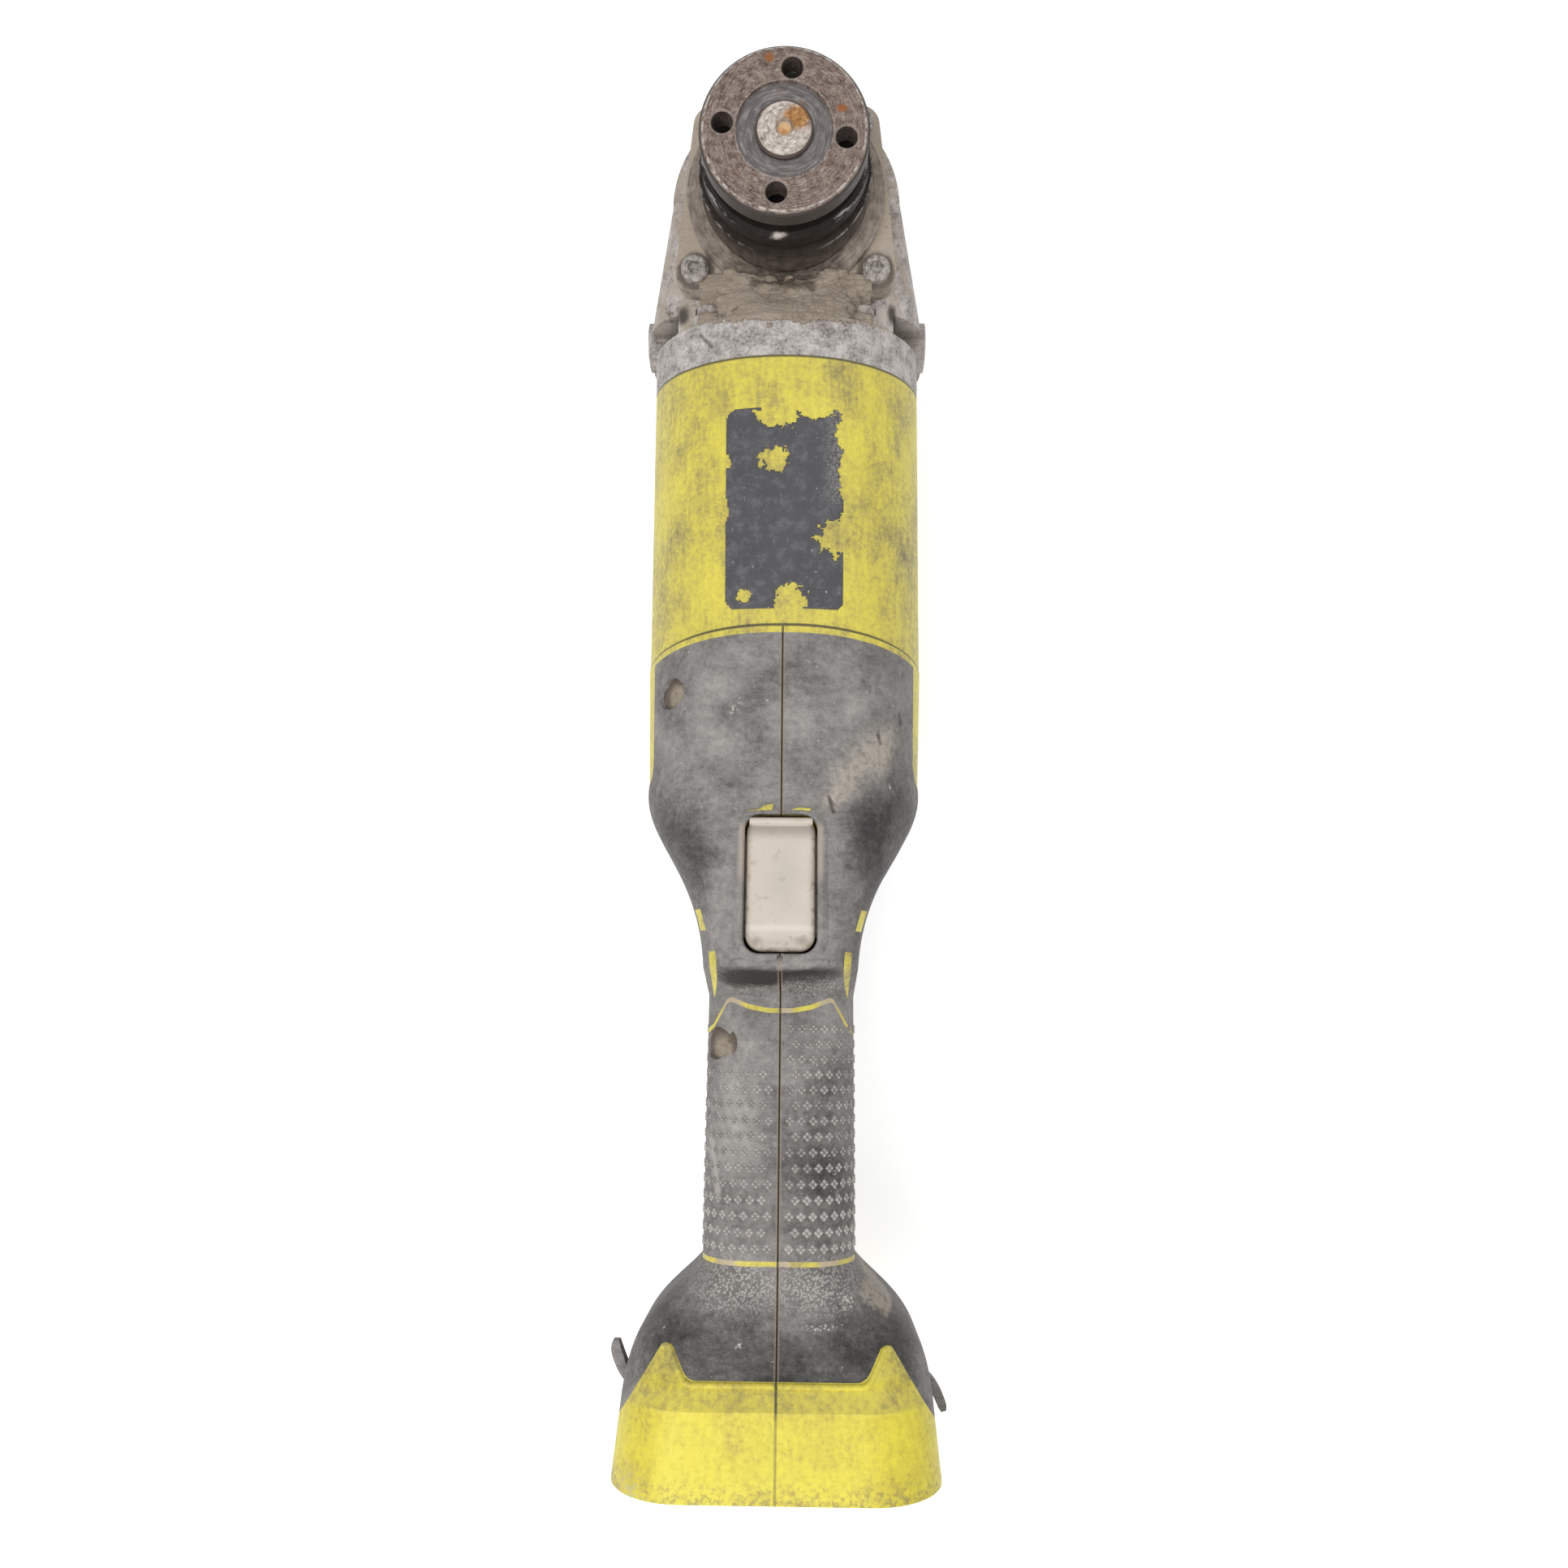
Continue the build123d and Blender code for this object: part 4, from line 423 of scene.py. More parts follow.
def lime_plastic():
    lime = Finish("lime_plastic")
    x, along = lime.axis("X"), lime.along()
    fine = lime.noise(1.3, 6.0, 0.75)
    cloud = lime.noise(14, 6.0, 0.65)
    streaks = lime.noise(1.6, 4.0, 0.65, lime.stretched((1.0, 0.14, 1.0), 0.3))
    # painted highlight: past the crease the foot's lower face is painted lighter, with less dirt, and
    # yellower
    face = (along + fine * 1.6 - 0.8).rise(176.4, 177.8)
    dirt_and_highlight = cloud * 1.20 + fine * 0.95 + streaks * 0.50 - face * 0.12 - 0.86
    lime.colour = lime.tones(dirt_and_highlight, (0.16, (0.765, 0.675, 0.085)), (0.42, (0.640, 0.545, 0.086)),
                             (0.64, (0.420, 0.350, 0.092)), (0.88, (0.190, 0.155, 0.072)))
    highlight_tint = lime.mix(1.0, lime.colour, (1.0, 0.985, 0.62), "MULTIPLY")
    # painted highlight: the lip above the saddle gets the same yellower tint
    lip = along.band(170.0, 171.0, 172.6, 173.4)
    lime.coat(face | lip * 0.6, highlight_tint)
    scratch = streaks.rise(0.63, 0.70) * lime.noise(12, 2.0).rise(0.45, 0.60)
    lime.coat(scratch, (0.22, 0.185, 0.09), 0.45)
    rim = along.rise(190, 195) * fine.rise(0.46, 0.62)
    lime.coat(rim, (0.25, 0.205, 0.10), 0.6)
    rubbed = lime.blob(-33.5, -322, 5, 9, 0.7, 0.9) * fine.rise(0.40, 0.60)
    lime.coat(rubbed, (0.78, 0.70, 0.36), 0.55)
    behind = lime.past(JOINT_Y, JOINT_LEAN)
    joint = abs(behind).fall(0.25, 0.55)
    front_edge = lime.axis("Y").rise(-44.9, -44.3)
    seam = abs(x).fall(0.22, 0.42) * behind.rise(0.0, 0.5) * along.rise(176, 180, 1.0, 0.55)
    lime.coat(joint | seam | front_edge, (0.050, 0.040, 0.024), 0.9)
    ragged = abs(x) + fine * 7.0 - 3.5
    legs = ragged.band(8.6, 11.2, 14.8, 15.8)
    right = x.rise(0.3, 0.5) * ragged.fall(1.8, 4.2)
    grime = (legs | right) * along.band(80, 81, 151, 152)
    lime.coat(grime, (0.46, 0.375, 0.305), 0.8)
    lime.bump(fine, 0.06, 0.5)
    return lime.done(fine.rise(0.3, 0.8, 0.40, 0.62))


lime_finish = lime_plastic()
dress(lime_finish, "motor_housing", "handle_left", "handle_right")
print("lime plastic on the housing and the handle")

# %% [markdown]
# ## Overmoulded rubber
#
# The belly, palm and saddle are covered with a warm grey rubber. It is matte, has a fine leathery grain,
# and holds pale dust in soft clouds. Paler and darker places are lists of ellipses seen from above: centre,
# half sizes and how much paler or darker; the two darker places under the trigger step are painted shadow.
# A sandy scuff runs across the right of the belly. The saddle near the foot is darker than the rest, and
# dust lies beside the seam.

# %% Overmoulded rubber
# paler places on the rubber: centre, half sizes and how much paler
PALER_SPOTS = [(-15, -146, 14, 12, 0.08), (-15, -186, 8, 12, 0.20), (-10, -238, 10, 24, 0.16),
         (20, -137, 12, 10, 0.12), (2, -140, 14, 9, 0.08), (-10, -277.5, 15, 9, 0.24),
         (10, -277.5, 15, 9, 0.24)]
# darker places; the two at y -204.5 and -203.2, under the trigger step, are painted shadow
DARKER_AND_SHADOW = [(22, -168, 12, 17, -0.26), (30, -171, 17, 28, -0.36), (20, -186, 13, 22, -0.18),
             (-28, -168, 15, 22, -0.26), (-20, -182, 11, 20, -0.12), (-6, -204.5, 14, 4.8, -0.82),
             (7, -203.2, 12, 3.6, -0.74), (12, -259, 13, 26, -0.30), (-9, -264, 11, 12, -0.14),
             (-15, -293, 28, 17, -0.29), (14, -293, 28, 17, -0.34), (0, -295, 12, 10, -0.20),
             (-29, -286, 11, 16, -0.16), (29, -288, 11, 14, -0.14)]
SPECKLED = [(8, -207.5, 11, 5, 0.9), (-8, -209, 9, 3, 0.5), (-10, -278, 18, 9, 0.9), (10, -278, 18, 9, 0.9)]
WHITE_SPECKS = [(-12.7, -136.7, 2.0, 2.2), (-10.6, -134.2, 1.2, 2.0), (28, -156.4, 0.7, 1.0),
                (-4.0, -133.8, 0.8, 1.0), (10.0, -286.4, 7.0, 1.1), (-9.0, -290.0, 2.4, 1.2),
                (17, -281.6, 2.6, 2.4), (12.6, -249.4, 1.4, 0.9), (13.9, -253.2, 1.0, 1.0),
                (14.6, -257.6, 0.9, 2.2), (14.4, -270.6, 0.9, 2.4)]
CUTS = [((25.0, -142.8), (25.7, -145.0), 0.8), ((31.2, -136.6), (31.4, -139.4), 0.8),
        ((12.0, -158.8), (13.2, -162.6), 0.9)]


def overmould():
    rubber = Finish("overmould")
    apart = abs(rubber.axis("X"))
    grain = rubber.cells(0.62)
    mottle = rubber.noise(1.6, 6.0, 0.75)
    cloud = rubber.noise(15, 6.0, 0.65)
    streaks = rubber.noise(2.4, 5.0, 0.7, rubber.stretched((0.3, 1.0, 1.0)))
    grit = rubber.noise(0.5, 3.0, 0.7)
    dust = cloud * 1.05 + mottle * 0.72 + streaks * 0.42 + grit * 0.30 - 0.76
    # the dust value also takes in the darker places, among them the painted shadow under the trigger step
    for *spot, amount in PALER_SPOTS + DARKER_AND_SHADOW:
        dust = dust + rubber.blob(*spot, 0.95) * amount
    rubber.colour = rubber.tones(dust, (0.0, (0.030, 0.028, 0.027)), (0.25, (0.105, 0.098, 0.093)),
                                 (0.50, (0.235, 0.222, 0.212)), (0.75, (0.360, 0.342, 0.325)),
                                 (1.0, (0.52, 0.49, 0.46)))
    zones = most([rubber.blob(*spot, 0.8) * amount for *spot, amount in SPECKLED])
    rubber.coat((grain - mottle * 0.9).fall(-0.20, 0.12) * zones, (0.46, 0.44, 0.41), 0.65)
    rubber.coat((grain + mottle * 0.5).rise(0.62, 0.85) * zones, (0.06, 0.055, 0.052), 0.6)
    scuff = most([rubber.stroke((12.8, -160.0), (20.0, -151.5), 4.4, 1.0, 0.6, 3),
                  rubber.stroke((17.5, -153.5), (25.5, -145.0), 7.4, 1.0, 0.7, 5),
                  rubber.stroke((25.5, -150.0), (27.5, -143.0), 5.2, 1.0, 0.6, 3)])
    broken = mottle.rise(0.34, 0.62, 0.25, 1.0) * cloud.rise(0.35, 0.6, 0.7, 1.0)
    rubber.coat(scuff * broken, (0.46, 0.405, 0.340))
    sandy = rubber.stroke((22.0, -281.0), (27.5, -284.5), 2.2, 0.7, 1.2)
    rubber.coat(sandy * mottle.rise(0.35, 0.55), (0.43, 0.375, 0.31), 0.8)
    rubber.coat(rubber.noise(1.0, 2.0).rise(0.735, 0.765), (0.60, 0.57, 0.53), 0.7)
    rubber.coat(apart.fall(0.35, 0.9), (0.30, 0.235, 0.18), 0.5)
    sides = apart.fall(10.2, 11.2) * rubber.along().band(39, 41, 50, 58)
    rubber.coat(sides, (0.44, 0.375, 0.32), 0.75)
    cuts = most([rubber.stroke(*cut, 1.0, 1.8) for cut in CUTS])
    rubber.coat(cuts, (0.050, 0.040, 0.035), 0.8)
    scrape = rubber.stroke((-17.4, -247.0), (-15.2, -258.5), 1.3, 0.8, 1.2)
    rubber.coat(scrape, (0.47, 0.44, 0.41), 0.7)
    specks = most([rubber.blob(*spot, 0.9) for spot in WHITE_SPECKS])
    chalky = specks.rise(0.1, 0.7) * rubber.noise(0.7, 4.0, 0.7).rise(0.50, 0.62)
    rubber.coat(chalky, (0.68, 0.65, 0.60), 0.85)
    rubber.bump(grain, 0.16, 0.6)
    rubber.bump(mottle, 0.18, 0.6)
    return rubber.done(dust.rise(0.1, 0.8, 0.58, 0.88), 0.0, 0.35)


rubber_finish = overmould()
dress(rubber_finish, *RUBBER)
print("rubber on the belly, palm and saddle")

# %% [markdown]
# ## Cast metal and dust
#
# The gear case and the bearing cover are cast aluminium, grey and mottled, with sandy dust on everything
# around the spindle. The dust keeps ahead of the case's clean rear band and thins out towards the floor, and
# the deep pockets at each side of the valley carry painted shade. The cover's base ring is dirty. Its collar
# is near black, dark metal with painted shade from under the nut; its edges are worn bright, with painted
# highlights at the left and right, and dust has settled on it. The wells round the screws carry painted
# shade.

# %% Cast metal and dust
SAND = (0.385, 0.315, 0.245)
PALE_SAND = (0.47, 0.41, 0.345)
SCREW_X = 24.0


def cast_metal(name, dusty):
    cast = Finish(name)
    fine = cast.noise(0.8, 5.0, 0.75)
    patch = cast.noise(5, 6.0, 0.65)
    cast.colour = cast.tones(patch * 1.2 + fine * 1.25 - 0.72, (0.18, (0.105, 0.090, 0.082)),
                             (0.42, (0.355, 0.320, 0.302)), (0.72, (0.60, 0.565, 0.54)))
    streaks = cast.noise(1.0, 3.0, 0.6, cast.stretched((0.12, 1.0, 1.0), 0.6))
    cast.coat(streaks.rise(0.62, 0.72), (0.54, 0.51, 0.48), 0.4)
    ahead = cast.axis("Y").rise(-34.0, -32.6)
    upper = cast.axis("Z").rise(-52, -32, 0.35, 1.0)
    dust = cast.noise(6, 5.0, 0.65).rise(0.46 - dusty, 0.66 - dusty) * ahead * upper
    cast.coat(dust, cast.mix(fine, SAND, PALE_SAND), 0.8)
    stain = cast.noise(2.6, 6.0, 0.75).rise(0.54, 0.66) * ahead.rise(0.0, 1.0, 0.38, 0.56) * upper
    # painted shade in the deep pockets at each side of the valley
    left_pocket_shade = cast.blob(-27.8, -28.4, 2.8, 4.2, 0.8, 0.7)
    right_pocket_shade = cast.blob(28.8, -28.0, 1.9, 4.0, 0.8, 0.7)
    nick = cast.stroke((-22.6, -36.0), (-19.4, -39.9), 0.8, 0.9, 1.5) * 0.7
    cast.coat(stain | left_pocket_shade | right_pocket_shade | nick, (0.070, 0.056, 0.047))
    cast.bump(fine, 0.14, 0.7)
    cast.bump(patch, 0.4, 0.3)
    return cast.done(fine.rise(0.2, 0.8, 0.48, 0.74), dust.rise(0.0, 0.6, 0.22, 0.0), 0.35)


def cover_metal():
    cover = Finish("cover_metal")
    reach, z = cover.radius(), cover.axis("Z")
    fine = cover.noise(0.8, 5.0, 0.75)
    turned = cover.noise(0.5, 4.0, 0.7, cover.polar(3.0))
    stain = cover.noise(3, 5.0, 0.7)
    cover.colour = cover.mix(cover.noise(4, 5.0), SAND, PALE_SAND)
    cover.coat(fine.fall(0.30, 0.46), (0.13, 0.10, 0.08), 0.7)
    below = cover.blob(0.0, -22.0, 21, 13, 0.8, 0.6, 5)
    dirty = cover.tones(turned * 0.8 + stain * 0.8 - below * 0.26 - 0.10,
                        (0.16, (0.026, 0.021, 0.018)), (0.42, (0.085, 0.067, 0.054)),
                        (0.66, (0.235, 0.192, 0.158)), (0.90, (0.40, 0.345, 0.295)))
    ring = reach.fall(25.9, 26.1) * z.rise(-20.9, -20.0)
    cover.coat(ring, dirty)
    # near black: dark metal, with painted shade from under the nut
    collar_tone_and_shade = cover.mix(cover.noise(2.5, 4.0), (0.010, 0.008, 0.007), (0.034, 0.027, 0.023))
    lips = z.rise(-8.1, -7.8) | z.band(-16.0, -15.8, -15.3, -15.1)
    # the worn edges are kept to the left and right, a painted highlight where they face the light
    glinting_sides = abs(cover.axis("X")).rise(7, 15)
    worn = reach.rise(21.6, 21.8) * lips * stain.rise(0.44, 0.58) * glinting_sides
    collar_tone_and_shade = cover.mix(worn * 0.8, collar_tone_and_shade, (0.42, 0.40, 0.385))
    settled = z.rise(-12.5, -7.0, 1.0, 0.30) * stain.rise(0.36, 0.58, 0.40, 1.0)
    powder = cover.mix(turned, (0.030, 0.024, 0.020), (0.205, 0.165, 0.135))
    collar_tone_and_shade = cover.mix(settled * 0.85, collar_tone_and_shade, powder)
    collar = reach.fall(22.3, 22.8) * z.rise(-17.9, -17.4)
    cover.coat(collar, collar_tone_and_shade)
    # painted shade in the wells round the screws
    well_shade = most([cover.blob(x, -19.7, 5.7, 5.9, 0.24, 0.35, 2.0) for x in (-SCREW_X, SCREW_X)])
    cover.coat(well_shade, (0.055, 0.043, 0.035), 0.75)
    cover.bump(fine, 0.14, 0.7)
    return cover.done(fine.rise(0.2, 0.8, 0.45, 0.72), 0.0, collar.rise(0.0, 1.0, 0.35, 0.05))


dress(cast_metal("case_metal", 0.04), "gear_case")
dress(cast_metal("plate_metal", 0.0), "bearing_plate")
dress(cover_metal(), "bearing_cover")
print("cast metal on the gear head")

# %% [markdown]
# ## Turned steel and rust
#
# The flange nut is turned steel gone brown. Its turning marks are a noise laid around the spindle axis, so
# that it runs in arcs. Two orange rust spots sit where moisture stayed, and the pin holes are dark with
# painted shade. The nut's pale outer edge is worn steel and a painted highlight, and its side carries painted
# shade. The ring recess is smoother and bluer, and the end of the spindle is pale with a rusty side. The
# flange under the nut is near black, dark steel with painted shade from the nut above it; its upper edge is
# worn bright, with painted highlights at the left and right, and a painted glint sits on it.

# %% Turned steel and rust
PIN_CIRCLE_R = 15.0
PIN_HOLES = [radians(-7 + 90 * k) for k in range(4)]


def nut_steel():
    nut = Finish("nut_steel")
    reach = nut.radius()
    mottle = nut.noise(2.0, 6.0, 0.75)
    fine = nut.noise(0.45, 4.0, 0.7)
    turned = nut.noise(0.32, 4.0, 0.7, nut.polar(2.2))
    wear = mottle * 1.5 + fine * 0.9 + turned * 1.3 - 1.35
    nut.colour = nut.tones(wear, (0.15, (0.052, 0.036, 0.029)), (0.45, (0.168, 0.122, 0.101)),
                           (0.80, (0.350, 0.284, 0.248)))
    scratch = turned.rise(0.60, 0.68) * nut.noise(6, 3.0).rise(0.44, 0.60)
    nut.coat(scratch, (0.62, 0.56, 0.51), 0.8)
    marks = nut.noise(0.6, 3.0, 0.6, nut.polar(1.4))
    arcs = nut.tones(marks * 1.3 + mottle * 0.75 - 0.55, (0.20, (0.090, 0.080, 0.078)),
                     (0.50, (0.165, 0.150, 0.146)), (0.85, (0.36, 0.335, 0.32)))
    nut.coat(reach.fall(11.4, 11.7), arcs)
    rim = reach.band(11.5, 11.75, 12.0, 12.25) * fine.rise(0.42, 0.6)
    nut.coat(rim, (0.40, 0.355, 0.33), 0.5)
    # pale broken ring on the outer edge: worn steel and a painted highlight
    edge = reach.band(19.2, 19.45, 19.6, 19.9) * nut.noise(1.6, 4.0).rise(0.40, 0.58)
    nut.coat(edge, (0.60, 0.56, 0.52), 0.8)
    for turn in PIN_HOLES:
        x, y = PIN_CIRCLE_R * cos(turn), PIN_CIRCLE_R * sin(turn)
        around = nut.blob(x, y, 3.25, 3.25, 0.10, 0.2, 1.5)
        # painted shade inside each pin hole
        hole_shade = around * nut.blob(x, y, 2.7, 2.7, 0.06)
        nut.coat(around - hole_shade, (0.42, 0.36, 0.32), 0.45)
        nut.coat(hole_shade, (0.026, 0.020, 0.017), 0.85)
    spots = nut.blob(-3.6, 17.0, 1.7, 1.6, 0.7, 0.8) | nut.blob(13.8, 4.9, 1.8, 1.3, 0.7, 0.8)
    rust = spots | nut.noise(6, 6.0, 0.7).rise(0.60, 0.70) * 0.35
    nut.coat(rust, nut.mix(fine, (0.20, 0.065, 0.020), (0.36, 0.145, 0.048)))
    # painted shade on the nut's side, which is also made less metallic
    flank_shade = reach.rise(19.9, 20.2)
    nut.coat(flank_shade, (0.040, 0.032, 0.028), 0.95)
    nut.bump(turned, 0.10, 0.5)
    nut.bump(mottle, 0.14, 0.5)
    return nut.done(mottle.rise(0.3, 0.7, 0.42, 0.66), (1.0 - flank_shade) * 0.22, 0.3)


def spindle_steel():
    steel = Finish("spindle_steel")
    reach = steel.radius()
    mottle = steel.noise(1.1, 6.0, 0.7)
    rings = steel.noise(0.4, 3.0, 0.6, steel.polar(1.0))
    steel.colour = steel.tones(mottle * 1.35 + rings * 0.9 - 0.65, (0.12, (0.150, 0.118, 0.095)),
                               (0.42, (0.445, 0.380, 0.330)), (0.75, (0.76, 0.70, 0.65)))
    rust = steel.blob(2.9, 2.3, 4.2, 3.6, 0.45, 0.9, 2.5) * reach.rise(1.9, 2.3)
    steel.coat(rust, steel.tones(mottle, (0.30, (0.14, 0.055, 0.020)), (0.52, (0.36, 0.165, 0.050)),
                                 (0.72, (0.62, 0.40, 0.18))))
    steel.coat(reach.fall(1.35, 1.7), steel.mix(mottle, (0.52, 0.30, 0.12), (0.98, 0.78, 0.50)))
    steel.coat(reach.band(1.6, 1.8, 2.1, 2.5), (0.16, 0.075, 0.030), 0.5)
    thread = steel.mix(mottle, (0.045, 0.033, 0.026), (0.115, 0.085, 0.068))
    steel.coat(reach.rise(6.35, 6.6), thread)
    steel.bump(mottle, 0.16, 0.7)
    return steel.done(mottle.rise(0.3, 0.7, 0.38, 0.62), 0.15, 0.35)


def flange_steel():
    dark = Finish("flange_steel")
    z = dark.axis("Z")
    mottle = dark.noise(2.0, 5.0, 0.65)
    turned = dark.noise(0.9, 4.0, 0.7, dark.polar(3.0))
    # near black: dark steel, with painted shade from the nut above it
    dark.colour = dark.mix(mottle, (0.006, 0.005, 0.005), (0.034, 0.027, 0.023))
    upper_edge = dark.radius().rise(20.0, 20.4) * z.rise(-1.7, -1.3)
    # bright upper edge, kept to the left and right: worn steel and a painted highlight
    worn = upper_edge * turned.rise(0.50, 0.62) * abs(dark.axis("X")).rise(10, 15)
    dark.coat(worn, (0.48, 0.46, 0.44), 0.7)
    glint = dark.blob(-1.6, -20.3, 2.6, 1.0, 0.9, 1.0, 1.2) * z.rise(-1.8, -1.3)
    dark.coat(glint * turned.rise(0.36, 0.56, 0.3, 1.0), (0.58, 0.53, 0.48))
    dark.bump(mottle, 0.08, 0.5)
    return dark.done(mottle.rise(0.3, 0.7, 0.32, 0.52), 0.0, 0.10)


def screw_steel():
    screw = Finish("screw_steel")
    mottle = screw.noise(1.2, 5.0, 0.7)
    screw.colour = screw.mix(mottle.rise(0.35, 0.62), (0.17, 0.148, 0.132), (0.47, 0.43, 0.395))
    screw.bump(mottle, 0.12, 0.6)
    return screw.done(mottle.rise(0.3, 0.7, 0.5, 0.75), 0.3)


dress(nut_steel(), "flange_nut")
dress(spindle_steel(), "spindle")
dress(flange_steel(), "inner_flange")
dress(screw_steel(), "cover_screws", "gear_case_screws", "handle_screws")
print("nut, spindle, flange and screws")

# %% [markdown]
# ## Trigger and the pieces inside
#
# The trigger is a beige plastic with dirt where fingers and dust collect, painted shade under its top lip, a
# painted highlight along the roll of its bottom edge and painted shade below that. The pieces inside are seen
# only when the tool is taken apart, so their finishes are simple: two tones mixed by a noise, a fine bump and
# a fitting roughness.

# %% Trigger and the pieces inside
def trigger_plastic():
    beige = Finish("trigger_plastic")
    along = beige.along()
    fine = beige.noise(1.0, 5.0, 0.65)
    beige.colour = beige.mix(beige.noise(8, 4.0), (0.53, 0.465, 0.395), (0.68, 0.610, 0.535))
    beige.coat(beige.noise(3.5, 6.0, 0.7).rise(0.57, 0.68), (0.36, 0.30, 0.23), 0.5)
    # painted shade under the trigger's top lip
    under_lip_shade = along.band(40.0, 40.5, 40.8, 44.5)
    beige.coat(under_lip_shade, (0.22, 0.185, 0.15), 0.65)
    edges = abs(beige.axis("X")).rise(6.9, 8.3) | along.rise(68.5, 71)
    beige.coat(edges * beige.noise(2.0, 5.0, 0.7).rise(0.48, 0.64), (0.27, 0.22, 0.165), 0.8)
    beige.coat(beige.blob(0.5, -179, 6.5, 11, 0.9), (0.47, 0.435, 0.395), 0.35)
    # painted highlight along the rounded bottom edge
    roll_highlight = along.band(64.6, 65.8, 66.2, 67.2)
    beige.coat(roll_highlight, (0.80, 0.74, 0.68), 0.45)
    # painted shade below the roll, where the edge turns away
    beige.coat(along.rise(66.8, 71), (0.34, 0.29, 0.235), 0.4)
    left_corner = beige.blob(-5.9, -194.6, 2.2, 1.7, 0.9, 0.9, 1.5)
    right_corner = beige.blob(5.6, -194.4, 2.8, 1.7, 0.9, 0.9, 1.5)
    beige.coat(left_corner | right_corner, (0.20, 0.16, 0.125), 0.55)
    beige.bump(fine, 0.05, 0.5)
    return beige.done(fine.rise(0.2, 0.8, 0.45, 0.62))


def plain(name, dark, light, roughness, metallic=0.0, size=2.0):
    """A simple finish: two tones mixed by a noise."""
    look = Finish(name)
    mottle = look.noise(size, 4.0)
    look.colour = look.mix(mottle, dark, light)
    look.bump(mottle, 0.03, 0.4)
    return look.done(mottle.rise(0.2, 0.8, roughness - 0.08, roughness + 0.08), metallic)


trigger_finish = trigger_plastic()
dress(trigger_finish, "trigger")
bearings = [f"{place}_bearing_{part}" for place in ("spindle", "front", "rear")
            for part in ("outer", "balls", "inner")]
dress(plain("plain_steel", (0.36, 0.35, 0.34), (0.50, 0.49, 0.47), 0.32, 0.9), *bearings, "snap_ring",
      "ring_gear", "pinion", "lock_pin", "lock_spring", "armature_shaft", "armature_core", "motor_can",
      "brush_springs", "trigger_spring")
dress(plain("ferrite", (0.035, 0.034, 0.036), (0.075, 0.073, 0.075), 0.7), "field_magnets")
dress(plain("copper", (0.48, 0.19, 0.075), (0.66, 0.30, 0.13), 0.34, 0.9), "armature_windings", "commutator",
      "battery_terminals")
dress(plain("holder_brass", (0.48, 0.35, 0.12), (0.62, 0.48, 0.20), 0.36, 0.9), "brush_holders",
      "spindle_bush")
dress(plain("carbon", (0.020, 0.020, 0.021), (0.050, 0.050, 0.052), 0.6), "carbon_brushes")
dress(plain("felt", (0.050, 0.047, 0.044), (0.105, 0.098, 0.090), 0.95, 0.0, 0.8), "dust_seal")
dress(plain("black_plastic", (0.022, 0.022, 0.023), (0.055, 0.054, 0.053), 0.5), "fan", "brush_plate",
      "switch_body", "switch_plunger", "lock_off_bolt", "terminal_block", "lock_button")
dress(plain("wire_sleeve", (0.33, 0.025, 0.020), (0.46, 0.045, 0.035), 0.5), "battery_leads", "motor_leads")
print("trigger and inner pieces")

# %% [markdown]
# ## A small kit for pieces
#
# The pieces that follow are plain meshes made from points and faces. Each is tied to the body it moves with
# and takes the slot of the finish it belongs to. A tube along a path makes beads and lips.

# %% The piece kit
def piece(name, points, faces, material, body="housing", smooth=True, closed=True):
    """Make a mesh piece, give it a finish and tie it to a body."""
    mesh = bpy.data.meshes.new(name)
    mesh.from_pydata([tuple(p) for p in points], [], faces)
    if closed:
        shape = bmesh.new()
        shape.from_mesh(mesh)
        bmesh.ops.recalc_face_normals(shape, faces=shape.faces)
        shape.to_mesh(mesh)
        shape.free()
    mesh.materials.append(material)
    mesh.polygons.foreach_set("use_smooth", [smooth] * len(mesh.polygons))
    mesh.update()
    thing = bpy.data.objects.new(name, mesh)
    bpy.context.scene.collection.objects.link(thing)
    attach(thing, body)
    print(name, len(mesh.polygons), "faces")
    return thing


def thicken(thing, thickness):
    """Give an open sheet a thickness below its face, in millimetres."""
    sheet = thing.modifiers.new("thickness", "SOLIDIFY")
    sheet.thickness = thickness * mm
    sheet.offset = -1.0


def grid_faces(rows, columns, ring=False, start=0):
    """Quads between rows of points; ring joins the last column to the first."""
    faces = []
    for i in range(rows - 1):
        for j in range(columns if ring else columns - 1):
            k = (j + 1) % columns
            corners = (i * columns + j, i * columns + k, (i + 1) * columns + k, (i + 1) * columns + j)
            faces.append(tuple(start + corner for corner in corners))
    return faces


def clamp(value):
    return min(max(value, 0.0), 1.0)


def curve(places, steps=8):
    """A smooth run of places through the given ones."""
    run = []
    for i in range(len(places) - 1):
        around = [Vector(places[min(max(i + k, 0), len(places) - 1)]) for k in (-1, 0, 1, 2)]
        for k in range(steps):
            t = k / steps
            run.append(0.5 * (2 * around[1] + t * (around[2] - around[0])
                              + t**2 * (2 * around[0] - 5 * around[1] + 4 * around[2] - around[3])
                              + t**3 * (3 * around[1] - around[0] - 3 * around[2] + around[3])))
    return run + [Vector(places[-1])]


def tangent(path, i):
    return path[min(i + 1, len(path) - 1)] - path[max(i - 1, 0)]


def tube(name, path, thick, material, body="housing", sides=12):
    """A closed tube along a path on the handle's front; thick is its half width at each point."""
    points = []
    for i, place in enumerate(path):
        ahead = tangent(path, i)
        across = ahead.cross(OUTWARDS).normalized()
        up = across.cross(ahead).normalized()
        for k in range(sides):
            turn = 2 * pi * k / sides
            points.append(place + (across * cos(turn) + up * sin(turn)) * thick[i] * mm)
    last = len(points) - sides
    faces = grid_faces(len(path), sides, ring=True)
    faces += [tuple(range(sides)), tuple(last + k for k in range(sides))]
    return piece(name, points, faces, material, body)


print("piece kit ready")

